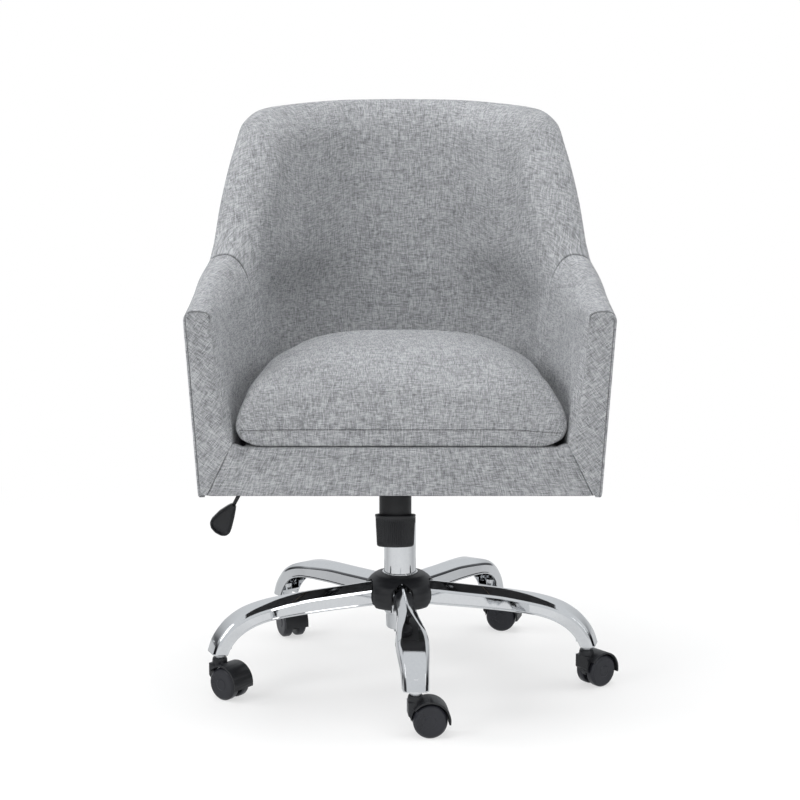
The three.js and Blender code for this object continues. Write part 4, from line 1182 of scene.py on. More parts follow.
def seat_platform():
    lay = [(361.2, 3.4), (361.2, 2.9), (362.0, 2.5), (385, 2.2), (408, 2.5), (412.2, 4.0), (414.4, 7.0), (415.0, 11.0)]
    rings = []
    for z, ins in lay:
        loop = inside_line(ins, 361.0, -250.1 + (ins - 2.2) * 0.5, corner=7.0)
        rings.append([(x, y, z) for x, y in resample(loop, 220)])
    c = np.mean(np.array(rings[-1]), axis=0)
    for k in (0.8, 0.55, 0.3, 0.12):
        rings.append([(c[0] + (x - c[0]) * k, c[1] + (y - c[1]) * k, 415.0 + 0.9 * (1 - k) * math.sin(math.pi * k) * 0) for x, y, z in rings[len(lay) - 1]])
    V = np.array(rings).reshape(-1, 3)
    W = V.copy()
    F = grid(len(rings), 220, cv=True) + [tuple(range(220)), tuple(range((len(rings) - 1) * 220, len(rings) * 220))]
    o = piece("seat_platform_cover", V, F, FABRIC, "seat", ("seat_deck",), weave=W)
    return o


seat_platform()


# -------------------------------------------------------------- cushion
SEAM_Z = 441.0
_ANG = np.linspace(-math.pi, math.pi, 721)
_LIMIT = {}


def limit_table(z):
    """Room for the cushion inside arms and back at height z, as radius by angle about (0, -100)."""
    key = int(round(z / 8.0)) * 8
    if key not in _LIMIT:
        pts = []
        for u in np.linspace(0.0, 1, 240):
            p = tub(u, float(pad_t(u, key)) + 0.6, float(key), -1).reshape(3)
            pts.append((p[0], p[1]))
        pts = np.array(pts + [(-x, y) for x, y in pts[::-1]])
        a = np.arctan2(pts[:, 0], -(pts[:, 1] + 100))
        rr = np.hypot(pts[:, 0], pts[:, 1] + 100)
        o = np.argsort(a)
        _LIMIT[key] = (a[o], rr[o])
    return _LIMIT[key]


def confine(p, gap=0.3):
    x, y, z = p
    floor_z = 416.3
    if y < -257.5:
        floor_z = 408.6 + math.sqrt(max(0.0, 56.2 - min(7.4, -257.5 - y) ** 2)) + 0.2
    if z < floor_z:
        z = floor_z
    if y < FRONT - 1.5:
        y = FRONT - 1.5
    a, rr = limit_table(min(max(z, 416), 552))
    t = math.atan2(x, -(y + 100))
    if abs(t) > abs(a[0]) - 1e-6 or True:
        lim = float(np.interp(t, a, rr)) - gap
        # in front of the arms' straight part the side is what limits it
        side = float(half_width(z)) - float(pad_t(min(U_STRAIGHT, max(0, (y - FRONT) / 165 * U_STRAIGHT)), z)) - gap
        if y < -100:
            x = max(-side, min(side, x))
        else:
            r = math.hypot(x, y + 100)
            if r > lim:
                x, y = x * lim / r, -100 + (y + 100) * lim / r
    return (x, y, z)


def cushion_start(shrink):
    lay = [(416.4, 12), (417.0, 8.0), (418.6, 4.8), (421.5, 2.4), (426, 0.9), (433, 0.2), (441, 0), (452, 0.4), (463, 1.4), (473, 3.4), (483, 7), (492, 12), (500, 18.5), (508, 28), (515.5, 40), (522, 54), (528, 72), (533, 93), (537, 118), (539.4, 146)]
    near = [12, 8, 4.8, 2.4, 0.9, 0.2, 0, 2.6, 7, 12.5, 19, 26, 34, 44, 55, 68, 84, 103, 125, 150]
    rings, count = [], 260
    for (z, ins), ins_f in zip(lay, near):
        zz = min(z, 480)
        ins2 = ins + shrink
        loop = inside_line(0.8 + ins2, zz, -263.5 + (ins_f + shrink) * 0.92, corner=17 + ins * 0.35)
        P = resample(loop, count)
        # towards the front the sides slope in from the seam like a pillow's
        push = (ins_f - ins) * smooth01((-P[:, 1] + 10) / 190) * smooth01((np.abs(P[:, 0]) - 60) / 120)
        P[:, 0] -= np.sign(P[:, 0]) * push
        low = 0.0
        if z < SEAM_Z:
            k = min(1.0, (SEAM_Z - z) / 24.5)
            low = 15 * (1 - math.sqrt(max(0, 1 - k * k)))
        out = []
        for x, y in P:
            f = smooth01((-y - 150) / 90)
            x2 = x - math.copysign(1, x) * low * f * smooth01((abs(x) - 150) / 70)
            lift_ = 5.5 * smooth01((z - 480) / 50) * smooth01((-y - 60) / 200)
            out.append((x2 + 2.2 * f, y, z - lift_ - (shrink * 0.6 if z > 500 else 0)))
        rings.append(out)
    V = list(np.array(rings).reshape(-1, 3))
    F = grid(len(rings), count, cv=True)
    last = rings[-1]
    c = np.mean(np.array(last), axis=0)
    base = len(V)
    for k in (0.75, 0.5, 0.25):
        for x, y, z in last:
            V.append(np.array((c[0] + (x - c[0]) * k, c[1] + (y - c[1]) * k, z + 1.0 * (1 - k))))
    rr = [list(range(base - count, base))] + [list(range(base + i * count, base + (i + 1) * count)) for i in range(3)]
    for i in range(3):
        for j in range(count):
            j2 = (j + 1) % count
            F.append((rr[i][j], rr[i][j2], rr[i + 1][j2], rr[i + 1][j]))
    F.append(tuple(rr[-1]))
    F.append(tuple(range(count)))
    return np.array(V), F


def inflate(o, pressure=4.0, frames=20, cap=0.008, stiff=14.0):
    """Pressure cloth on a closed mesh in metres; keeps its topology."""
    rest = np.zeros(len(o.data.vertices) * 3)
    o.data.vertices.foreach_get("co", rest)
    rest = rest.reshape(-1, 3)
    c = o.modifiers.new("cloth", "CLOTH")
    s = c.settings
    s.quality = 5
    s.mass = 0.25
    s.tension_stiffness = stiff
    s.compression_stiffness = stiff
    s.shear_stiffness = stiff * 0.4
    s.bending_stiffness = 0.35
    s.use_pressure = True
    s.uniform_pressure_force = pressure
    s.effector_weights.gravity = 0
    sc = bpy.context.scene
    for f in range(1, frames + 1):
        sc.frame_set(f)
    dg = bpy.context.evaluated_depsgraph_get()
    me = o.evaluated_get(dg).to_mesh()
    co = np.zeros(len(me.vertices) * 3)
    me.vertices.foreach_get("co", co)
    co = co.reshape(-1, 3)
    o.evaluated_get(dg).to_mesh_clear()
    o.modifiers.remove(c)
    sc.frame_set(1)
    d = co - rest
    # the filling holds the edges out: the cloth may swell but hardly pull in
    nor = np.zeros(len(rest) * 3)
    o.data.vertices.foreach_get("normal", nor)
    nor = nor.reshape(-1, 3)
    out = np.sum(d * nor, axis=1)
    d = nor * np.clip(out, -0.0006, cap)[:, None] + (d - nor * out[:, None]) * 0.3
    l = np.maximum(1e-9, np.linalg.norm(d, axis=1))
    d *= (np.minimum(l, cap) / l)[:, None]
    o.data.vertices.foreach_set("co", (rest + d).ravel())
    o.data.update()
    return rest + d


def cushion():
    shrink = 0.3
    V, F = cushion_start(shrink)
    me = mesh_from("cushion_start", row(V), F)
    o = bpy.data.objects.new("cushion_start", me)
    ROOT.objects.link(o)
    rm = o.modifiers.new("remesh", "REMESH")
    rm.mode = "VOXEL"
    rm.voxel_size = 0.006
    rm.adaptivity = 0.0
    dg = bpy.context.evaluated_depsgraph_get()
    me2 = bpy.data.meshes.new_from_object(o.evaluated_get(dg))
    o.modifiers.clear()
    o.data = me2
    inflate(o, 4.0, 20, 0.005)
    sm = o.modifiers.new("smooth", "SMOOTH")
    sm.factor = 0.5
    sm.iterations = 4
    sub = o.modifiers.new("sub", "SUBSURF")
    sub.levels = sub.render_levels = 1
    dg = bpy.context.evaluated_depsgraph_get()
    me3 = bpy.data.meshes.new_from_object(o.evaluated_get(dg))
    bpy.data.objects.remove(o)
    co = np.zeros(len(me3.vertices) * 3)
    me3.vertices.foreach_get("co", co)
    co = co.reshape(-1, 3) * 1000 - np.array([CX, CY, 0])
    no = np.zeros(len(me3.vertices) * 3)
    me3.vertices.foreach_get("normal", no)
    no = no.reshape(-1, 3)
    out = np.empty_like(co)
    for i, p in enumerate(co):
        x, y, z = p
        front = smooth01((-no[i][1] - 0.35) / 0.3)
        # sewn seam between top and front band
        zs = seam_height(x)
        if front > 0 and abs(z - zs) < 9 and y < -225:
            g = math.exp(-((z - zs) / 1.7) ** 2) * 1.9 + math.exp(-((z - zs) / 5.0) ** 2) * 0.7
            end = 1 - smooth01((abs(x - 2) - 222) / 14)
            y += g * front * end
        # gathers below the seam and little creases at the front corners
        if front > 0:
            y += front * (0.5 * noise.noise(Vector((x * 0.045, z * 0.02, 3.3))) + 0.5 * math.exp(-((z - 430) / 9.0) ** 2) * noise.noise(Vector((x * 0.11, 1.7, 0.4))))
        sag = smooth01((-y - 248) / 12) * (1 - smooth01((z - 419) / 14)) * (1 - smooth01((abs(x) - 190) / 45))
        z -= sag * (4.6 + 1.2 * math.exp(-((x - 196) / 22) ** 2) + 0.8 * soft((x, 0, 0), 0.02, 3.0))
        y -= 0.8 * sag
        z += 0.7 * no[i][2] * soft((x, y, z), 0.014, 7.7)
        out[i] = confine((x, y, z))
    me3.vertices.foreach_set("co", row(out).ravel())
    me3.update()
    for f in me3.polygons:
        f.use_smooth = True
    fall = 533.0 - out[:, 2]
    yy = np.where(out[:, 1] < 0, out[:, 1] - fall * smooth01((-out[:, 1] - 120) / 120), out[:, 1] + fall * smooth01(out[:, 1] / 160))
    W = np.stack([out[:, 0] * (1 + 0.0 * fall) + out[:, 0] / 250 * fall * smooth01((np.abs(out[:, 0]) - 120) / 110) * 0.6, yy, np.zeros(len(out))], -1)
    o = finish_piece("seat_cushion_cover", me3, CUSHION_CLOTH, "seat", ("seat_cushion",), W)
    return o


def seam_height(x):
    return SEAM_Z - 4.5 * smooth01((x - 150) / 80) - 1.5 * smooth01((-x - 150) / 80)


def cushion_stitch_and_seam_shade(nt, sep, col, height):
    """Stitched line where the top of the cushion meets its front band: a thin dark line of painted shade for the seam's
    crease, broken into stitch dashes, and a groove in the bump.
    """
    tc = N(nt, "ShaderNodeTexCoord")
    s = N(nt, "ShaderNodeSeparateXYZ")
    nt.links.new(tc.outputs["Object"], s.inputs[0])
    x, z, y = s.outputs[0], s.outputs[2], s.outputs[1]
    xr = math_node(nt, "DIVIDE", math_node(nt, "SUBTRACT", x, (150 + CX) / 1000), 0.08, clamp=True)
    xl = math_node(nt, "DIVIDE", math_node(nt, "SUBTRACT", math_node(nt, "MULTIPLY", x, -1.0), (150 - CX) / 1000), 0.08, clamp=True)

    def sm(t):
        return math_node(nt, "MULTIPLY", math_node(nt, "MULTIPLY", t, t), math_node(nt, "SUBTRACT", 3.0, math_node(nt, "MULTIPLY", t, 2.0)))
    zs = math_node(nt, "SUBTRACT", SEAM_Z / 1000, math_node(nt, "ADD", math_node(nt, "MULTIPLY", sm(xr), 0.0045), math_node(nt, "MULTIPLY", sm(xl), 0.0015)))
    d = math_node(nt, "ABSOLUTE", math_node(nt, "SUBTRACT", z, zs))
    line = math_node(nt, "SUBTRACT", 1.0, math_node(nt, "DIVIDE", d, 0.0011), clamp=True)
    inx = math_node(nt, "LESS_THAN", math_node(nt, "ABSOLUTE", math_node(nt, "SUBTRACT", x, CX / 1000 + 0.002)), 0.231)
    iny = math_node(nt, "LESS_THAN", y, (-228 + CY) / 1000)
    line = math_node(nt, "MULTIPLY", line, math_node(nt, "MULTIPLY", inx, iny))
    dash = math_node(nt, "ADD", math_node(nt, "MULTIPLY", math_node(nt, "SINE", math_node(nt, "MULTIPLY", x, 2 * math.pi / 0.0042)), 0.18), 0.72)
    # painted shade: the line darkens the cloth along the seam's crease; the dashes give the stitches
    mix = N(nt, "ShaderNodeMix", data_type="RGBA", blend_type="MULTIPLY")
    nt.links.new(math_node(nt, "MULTIPLY", line, dash), mix.inputs[0])
    nt.links.new(col, mix.inputs[6])
    mix.inputs[7].default_value = (0.16, 0.16, 0.17, 1)
    height = math_node(nt, "SUBTRACT", height, math_node(nt, "MULTIPLY", line, 1.6))
    return mix.outputs[2], height


CUSHION_CLOTH = fabric("woven_cloth_cushion", F_DARK, F_MID, F_LIGHT, stitch_and_seam_shade=cushion_stitch_and_seam_shade)
cushion()


# ----------------------------------------------------------- dust cloth
def dust_cloth():
    us = np.linspace(0.008, 1, 160)
    half = []
    for u in us:
        p = tub(u, 9.0, 345.0, -1).reshape(3)
        half.append((min(p[0], 0.0), p[1]))
    left = [p for p in half if p[1] > -250]
    x0 = left[0][0]
    left = [(x0 + 8 * (1 - math.cos(q)), -256 + 8 * (1 - math.sin(q))) for q in np.linspace(math.pi / 2, 0, 6)] + left
    loop = np.array(left + [(-x, y) for x, y in left[:-1][::-1]])
    C = np.array([0.0, -22.5])
    na, nr = 300, 40
    loop = resample(loop, 900)
    P = np.vstack([loop, loop[:1]]) - C
    ang = np.unwrap(np.arctan2(P[:, 1], P[:, 0]))
    rr = np.hypot(P[:, 0], P[:, 1])
    if ang[-1] < ang[0]:
        ang, rr = ang[::-1], rr[::-1]
    th = np.linspace(ang[0], ang[0] + 2 * math.pi, na + 1)[:-1]
    ro = np.interp(th, ang, rr)
    hx, hy = 101.2, 118.7
    ri = np.minimum(hx / np.maximum(1e-6, np.abs(np.cos(th))), hy / np.maximum(1e-6, np.abs(np.sin(th))))
    rings = []
    for layer in (0, 1):
        seq = range(nr) if layer == 0 else range(nr - 1, -1, -1)
        for k in seq:
            t = k / (nr - 1)
            r = ri + (ro - ri) * t
            x, y = C[0] + r * np.cos(th), C[1] + r * np.sin(th)
            ring = []
            for i in range(na):
                hem = 0.55 * (math.exp(-((ro[i] - r[i]) / 9.0) ** 4) + math.exp(-((r[i] - ri[i]) / 8.0) ** 4))
                sag = 0.5 * math.sin(math.pi * t) * (0.9 + 0.8 * soft((x[i], y[i], 0), 0.02, 1.1)) + 0.25 * soft((x[i], y[i], 0), 0.07, 4.0)
                z = 344.55 - 0.15 - (hem * 0.5 + max(0, sag) + 0.35 if layer == 0 else 0)
                ring.append((x[i], y[i], z))
            rings.append(ring)
    V = np.array(rings).reshape(-1, 3)
    o = piece("dust_cloth", V, grid(len(rings), na, cu=True, cv=True), DUST, "seat", ("dust_cover",), weave=V)
    return o


dust_cloth()

# ------------------------------------------------------------------ base
STAR, STEM_R = 4.3, 298.0
LEG_T = [
    [[29.6, 156], [29.6, 120], 15, 1.8, 10],
    [[110, 152], [110, 118.8], 15.2, 1.8, 10],
    [[158, 149.9], [156, 117.8], 16.6, 2.2, 9.5],
    [[200, 145.2], [193, 117], 20.4, 7.5, 8.5],
    [[232, 138.6], [220, 115.4], 23.3, 14, 6.5],
    [[258, 130], [242, 110.8], 23.9, 16.6, 5],
    [[280, 117.5], [260, 103], 22.6, 16.4, 4.2],
    [[296, 102.5], [274, 92.5], 20.6, 15, 3.4],
    [[307, 86.5], [284, 80.5], 19.5, 14, 3],
    [[313.5, 68], [291, 67], 19, 13.4, 2.6],
]


def leg_angle(k):
    return -90 + STAR + 72 * k


def leg_mesh():
    par = np.array([[t[0][0], t[0][1], t[1][0], t[1][1], t[2], t[3], t[4]] for t in LEG_T], float)
    mid = (par[:, 0:2] + par[:, 2:4]) / 2
    s = np.concatenate([[0], np.cumsum(np.hypot(*np.diff(mid, axis=0).T))])
    f = [monotone([[a, b] for a, b in zip(s, par[:, c])]) for c in range(7)]
    wall = 2.4
    rings = []
    steps = list(np.linspace(0, s[-1] - 4, 70)) + [s[-1] - 2.6, s[-1] - 1.5, s[-1] - 0.7, s[-1] - 0.25, s[-1]]
    for t in steps:
        tx, tz, lx, lz, w, fc, fall = [g(t) for g in f]
        end = s[-1] - t
        rim = 1.1 * (1 - math.sqrt(max(0, 1 - (1 - min(end, 1.6) / 1.6) ** 2)))
        ux, uz = tx - lx, tz - lz
        h = math.hypot(ux, uz)
        e = (ux / h, uz / h)
        w2 = w - rim
        h2 = h - rim
        lipo = 0.45
        o = [(-w2 - lipo, 0), (-w2 - lipo, 2.2), (-w2, 3.6), (-w2, h2 - fall - 4), (-w2 + 1.8, h2 - fall), (-fc, h2 - 0.2), (fc, h2 - 0.2), (w2 - 1.8, h2 - fall), (w2, h2 - fall - 4), (w2, 3.6), (w2 + lipo, 2.2), (w2 + lipo, 0)]
        wi = w - wall
        i = [(wi, 0), (wi, h - fall - 5), (wi - 1.4, h - fall - 2), (max(0.8, fc - 1), h - wall - 0.2), (-max(0.8, fc - 1), h - wall - 0.2), (-wi + 1.4, h - fall - 2), (-wi, h - fall - 5), (-wi, 0)]
        ro = [0.7, 0.6, 1.2, 2.2, 2.2, 2.4, 2.4, 2.2, 2.2, 1.2, 0.6, 0.7]
        ri = [0.6, 1.5, 1.5, 1.5, 1.5, 1.5, 1.5, 0.6]
        sec = fillet(o + i, ro + ri, 3)
        rings.append([(lx + e[0] * v, y, lz + e[1] * v) for y, v in sec])
    m = min(len(r) for r in rings)
    assert all(len(r) == m for r in rings)
    V = np.array(rings).reshape(-1, 3)
    F = grid(len(rings), m, cv=True) + [tuple(range(m)), tuple(range((len(rings) - 1) * m, len(rings) * m))]
    channel = (V, F)
    tube = lathe([(6.0, 63.5), (9.3, 63.5), (9.6, 63.9), (9.6, 87), (6.0, 87)], 40, closed=True)
    tube = (shift(tube[0], STEM_R), tube[1])
    plate = prism(fillet([(283, -17.2), (305, -17.2), (305, 17.2), (283, 17.2)], 3, 3), 76, 79, "z")
    hole = lathe([(0, 60), (8.5, 60), (8.5, 95), (0, 95)], 40)
    hole = (shift(hole[0], STEM_R), hole[1])
    b = combine(plate, [("DIFFERENCE", *hole), ("UNION", *tube)])
    extra = b.data.copy()
    bpy.data.objects.remove(b)
    return channel, extra


LEG_CH, LEG_EXTRA = leg_mesh()
for k in range(5):
    me = mesh_from("leg", LEG_CH[0], LEG_CH[1], sharp=28)
    bm = bmesh.new()
    bm.from_mesh(me)
    bm.from_mesh(LEG_EXTRA)
    for f in bm.faces:
        f.smooth = True
    for e in bm.edges:
        if len(e.link_faces) == 2 and e.calc_face_angle(0) > rad(30):
            e.smooth = False
    bmesh.ops.rotate(bm, verts=bm.verts, cent=(0, 0, 0), matrix=Matrix.Rotation(rad(leg_angle(k)), 3, "Z"))
    for v in bm.verts:
        v.co = Vector(((v.co.x + CX) / 1000, (v.co.y + CY) / 1000, v.co.z / 1000))
    bm.to_mesh(me)
    bm.free()
    finish_piece(f"star_leg_{k + 1}", me, CHROME, "base", (f"leg_{k + 1}",))


def hub():
    prof = fillet([(28.3, 166.0), (39.5, 163.5), (46.6, 158.1), (52.6, 150.6), (56.5, 141), (56.5, 129), (53.7, 119.4), (50.5, 115), (47.9, 115), (51, 120.4), (53.8, 130), (53.8, 140), (50.2, 149), (44.8, 155.4), (38.6, 160.2), (28.3, 163.3)],
                  [0.8, 9, 12, 14, 14, 14, 12, 0.7, 0.6, 10, 12, 12, 12, 10, 8, 0.6], 5)
    ops = []
    for k in range(5):
        arch = fillet([(-17.2, 90), (17.2, 90), (17.2, 142.5), (15, 148), (3.2, 157.4), (-3.2, 157.4), (-15, 148), (-17.2, 142.5)], [0, 0, 4, 4, 2.5, 2.5, 4, 4], 5)
        v, f = prism(arch, 24, 68, "x")
        ops.append(("DIFFERENCE", turn(v, "Z", leg_angle(k)), f))
    b = combine(lathe(prof, 160, closed=True), ops)
    me = take(softened(b, 0.35, 2, 40), 34)
    finish_piece("hub_shroud", me, PLASTIC, "base", ("hub_cover",))


hub()


def lathed(name, profile, segs, mat, body, replaces, at=(0, 0, 0), sharp=32, closed=True, radial=None, tilt=None):
    v, f = lathe(profile, segs, closed, radial)
    if tilt:
        v = turn(v, "X", tilt)
    return piece(name, shift(v, *at), f, mat, body, replaces, sharp)


lathed("hub_collar_ring", fillet([(25.5, 160.8), (27.9, 160.8), (27.9, 167.2), (25.5, 167.5)], [0.3, 0.6, 1.0, 0.4], 4), 120, CHROME, "base", ("hub_ring",))
lathed("column_sleeve", fillet([(6.4, 76), (20.4, 76), (21.8, 79), (22.4, 99), (25, 103), (25, 246), (22.6, 246), (22.6, 112), (19.6, 108), (19.4, 82), (6.4, 82)],
                               [0.3, 1.2, 2, 4, 3, 0.8, 0.5, 1, 1, 1, 0.3], 4), 128, CHROME, "base", ("column_tube",))
lathed("column_bushing", fillet([(14.4, 196), (22.2, 196), (22.2, 246.3), (24.6, 246.3), (24.6, 253.4), (22.5, 256), (14.4, 256)], [0.3, 0.5, 0.2, 0.5, 1.4, 1.2, 0.5], 4), 96, PLASTIC, "base", ("guide_bushing",))
lathed("lift_cylinder", fillet([(5.6, 128), (14, 128), (14, 298), (13.4, 320), (3.7, 320), (3.7, 305), (9, 300), (9, 134), (5.6, 134)], [0.3, 1.5, 2, 0.8, 0.3, 0.3, 1, 1, 0.3], 4), 72, POWDER, "lift", ("gas_cylinder",))

# --------------------------------------------------------------- casters
YAW, TRAIL, WR = [5, 38, -15, -66, -38], 20.0, 25.0


def housing_mesh():
    ax, az = TRAIL, WR

    def arc(r, d0, d1, n):
        return [(ax + r * math.cos(rad(d)), az + r * math.sin(rad(d))) for d in np.linspace(d0, d1, n)]
    web = [(-9.5, 54), (-9.5, 30), (-4, 20)] + arc(15, 215, 350, 14) + arc(28, 0, 110, 18) + [(6, 54.5)]
    hood = arc(30, -10, 142, 40) + arc(27.4, 142, -10, 40)
    block = fillet([(-11.5, 33), (-7.6, 28.5), (-7.6, 25), (-6.2, 24)], 0, 1) + arc(27.4, 168, 142, 6) + arc(30, 132, 132, 1) + [(-1, 52), (-11.5, 52)]
    collar = lathe(fillet([(0, 44), (11.5, 44), (11.5, 57), (10.5, 60.5), (0, 60.5)], [0, 0.4, 1.2, 0.9, 0], 4), 48)
    ops = [("UNION", *prism(hood, -20, 20)), ("UNION", *prism(block, -12, 12)), ("UNION", *collar)]
    for sy in (-1, 1):
        v, f = lathe([(0, 0), (27.1, 0), (27.1, 20), (0, 20)], 72)
        v = turn(v, "X", -90 * sy)
        ops.append(("DIFFERENCE", shift(v, ax, sy * 4.4, az), f))
    v, f = lathe([(0, -30), (4.35, -30), (4.35, 30), (0, 30)], 24)
    ops.append(("DIFFERENCE", shift(turn(v, "X", 90), ax, 0, az), f))
    v, f = lathe([(0, 40.5), (5.95, 40.5), (5.95, 70), (0, 70)], 24)
    ops.append(("DIFFERENCE", v, f))
    b = combine(prism(web, -4.2, 4.2), ops)
    return softened(b, 0.7, 2, 34)


HOUSE = housing_mesh()
HOUSE_MESH = HOUSE.data.copy()
bpy.data.objects.remove(HOUSE)


def wheel_mesh(mirror):
    prof = fillet([(0, 19.6), (8, 19.9), (9.2, 19.2), (17.6, 19.4), (21.6, 19.2), (24.9, 16.2), (25, 14.5), (25, 7.6), (23.8, 4.8), (12, 4.8), (11, 6.0), (4.5, 6.0), (4.5, 15.5), (0, 15.5)],
                  [0, 0.8, 0.8, 3, 1.6, 1.6, 1, 1.8, 1.2, 0.6, 0.4, 0.2, 0.2, 0], 5, closed=False)
    v, f = lathe(prof, 96)
    v = turn(v, "X", -90)
    if mirror:
        v = turn(v, "Z", 180)
    return v, f


for k in range(5):
    a = rad(leg_angle(k))
    M = Matrix.Translation((STEM_R * math.cos(a), STEM_R * math.sin(a), 0)) @ Matrix.Rotation(rad(YAW[k]), 4, "Z")
    tmp = bpy.data.objects.new("tmp_h", HOUSE_MESH.copy())
    ROOT.objects.link(tmp)
    me = take(tmp, 34, M)
    finish_piece(f"caster_hood_{k + 1}", me, PLASTIC, f"caster_{k + 1}", (f"caster_{k + 1}_housing",))
    for w in "ab":
        v, f = wheel_mesh(w == "b")
        v = shift(v, TRAIL, 0, WR)
        v = v @ np.array(M)[:3, :3].T + np.array(M)[:3, 3]
        piece(f"caster_disc_{k + 1}{w}", v, f, NYLON, f"wheel_{k + 1}{w}", (f"caster_{k + 1}_wheel_{w}",), sharp=34)

# ------------------------------------------------------------- mechanism
LEAN = 8.5
KX, KY, KZ = -7.0, -120.0, 261.0


def on_axis(vf):
    v, f = vf
    return shift(turn(v, "X", -LEAN), KX, KY, KZ), f


def mechanism():
    outer = prism(fillet([(-152, 323.4), (64, 291), (64, 310), (20, 320.5), (-20, 337), (-152, 337)], [3, 3, 1, 4, 4, 1], 4), -45, 45, "x")
    inner = prism([(-149.2, 326.2), (61.2, 294.3), (61.2, 345), (-149.2, 345)], -42.2, 42.2, "x")
    trim_a = prism([(-160, 326.21), (-70, 313.2), (-70, 345), (-160, 345)], -42.2, 42.2, "x")
    hole = lathe([(0, -60), (6.4, -60), (6.4, 60), (0, 60)], 32)
    ops = [
        ("DIFFERENCE", *inner),
        ("UNION", *lathe([(0, 296), (20.5, 296), (20.5, 318), (0, 318)], 64)),
        ("DIFFERENCE", *lathe([(0, 280), (14.5, 280), (14.5, 330), (0, 330)], 64)),
        ("UNION", *on_axis(lathe(fillet([(21.6, 5), (24.3, 5), (24.3, 60.5), (21.6, 60.5)], [0.4, 0.6, 0, 0], 3), 96, closed=True))),
        ("DIFFERENCE", *on_axis(lathe([(0, 20), (7, 20), (7, 75), (0, 75)], 32))),
        ("DIFFERENCE", *trim_a),
        ("DIFFERENCE", shift(turn(hole[0], "Y", 90), 0, -35, 322), hole[1]),
        ("DIFFERENCE", *prism([(-50, -3), (-38, -3), (-38, 15), (-50, 15)], 309.5, 321, "z")),
    ]
    b = combine(outer, ops)
    me = take(softened(b, 0.0), 32)
    finish_piece("mechanism_case", me, POWDER, "mechanism", ("mechanism_housing",))


mechanism()


def coil():
    """Compression spring round the tension bolt."""
    turns, r, z0, z1, wire, per, sides = 5, 16.5, -13.6, 50.0, 2.0, 40, 12
    rings = []
    for i in range(turns * per + 1):
        t = i / per
        a = 2 * math.pi * t
        z = z0 + wire + (z1 - z0 - 2 * wire) * i / (turns * per)
        rise = (z1 - z0 - 2 * wire) / (turns * 2 * math.pi * r)
        lean = math.atan(rise)
        ring = []
        for q in np.linspace(0, 2 * math.pi, sides + 1)[:-1]:
            d, up = wire * math.cos(q), wire * math.sin(q)
            ring.append(((r + d) * math.cos(a) + up * math.sin(lean) * math.sin(a), (r + d) * math.sin(a) - up * math.sin(lean) * math.cos(a), z + up * math.cos(lean)))
        rings.append(ring)
    V = np.array(rings).reshape(-1, 3)
    F = grid(len(rings), sides, cv=True) + [tuple(range(sides)), tuple(range((len(rings) - 1) * sides, len(rings) * sides))]
    V, F = on_axis((V, F))
    o = piece("tension_coil", V, F, ZINC, "mechanism", ("tension_spring",), sharp=60)
    top = row(on_axis((np.array([[0.0, 0.0, z1]]), None))[0])[0]
    way = turn(np.array([[0.0, 0.0, 1.0]]), "X", -LEAN)[0]
    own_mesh(o)
    return o


coil()


def knob_radius(r, z, a):
    # moulded grip ribs on the outer wall, none on the lip and the lower rounding
    if r < 27.0 or not -21.5 < z < 20.2:
        return r
    edge = min(1.0, min(z + 21.5, 20.2 - z) / 1.6)
    t = 0.5 + 0.5 * math.cos(a * 60)
    return r - 0.95 * edge * (1 - t ** 0.6)


KP = [(5.4, -24), (22, -24), (26.2, -23.8), (27.4, -22.9), (28.3, -21.6)]
KP += [(28.3 + (z + 21.6) * 0.050, z) for z in np.linspace(-20.8, 20.2, 16)]
KP += [(30.6, 20.6), (31.0, 21.2), (31.0, 23.4), (30.6, 24.0), (27.0, 24.0), (26.6, 23.5), (26.2, -15.2), (25.4, -16), (5.4, -16)]
kv, kf = lathe([(r - 0.35 if r > 28 else r, z) for r, z in KP], 480, closed=True, radial=knob_radius)
kv, kf = on_axis((kv, kf))
piece("tension_hand_knob", kv, kf, KNOB, "knob", ("tension_knob",), sharp=50)


# ----------------------------------------------------------------- lever
def rod_path():
    p = [(-23.0, 315.0), (-120.0, 315.0), (-229.0, 315.0)]
    c, R = (-230.0, 301.0), 14.0
    for d in np.linspace(94, 152, 13):
        p.append((c[0] + R * math.cos(rad(d)), c[1] + R * math.sin(rad(d))))
    e = p[-1]
    for t in (4, 14, 26, 38, 43, 43.8):
        p.append((e[0] - t * math.cos(rad(62)), e[1] - t * math.sin(rad(62))))
    return p, e


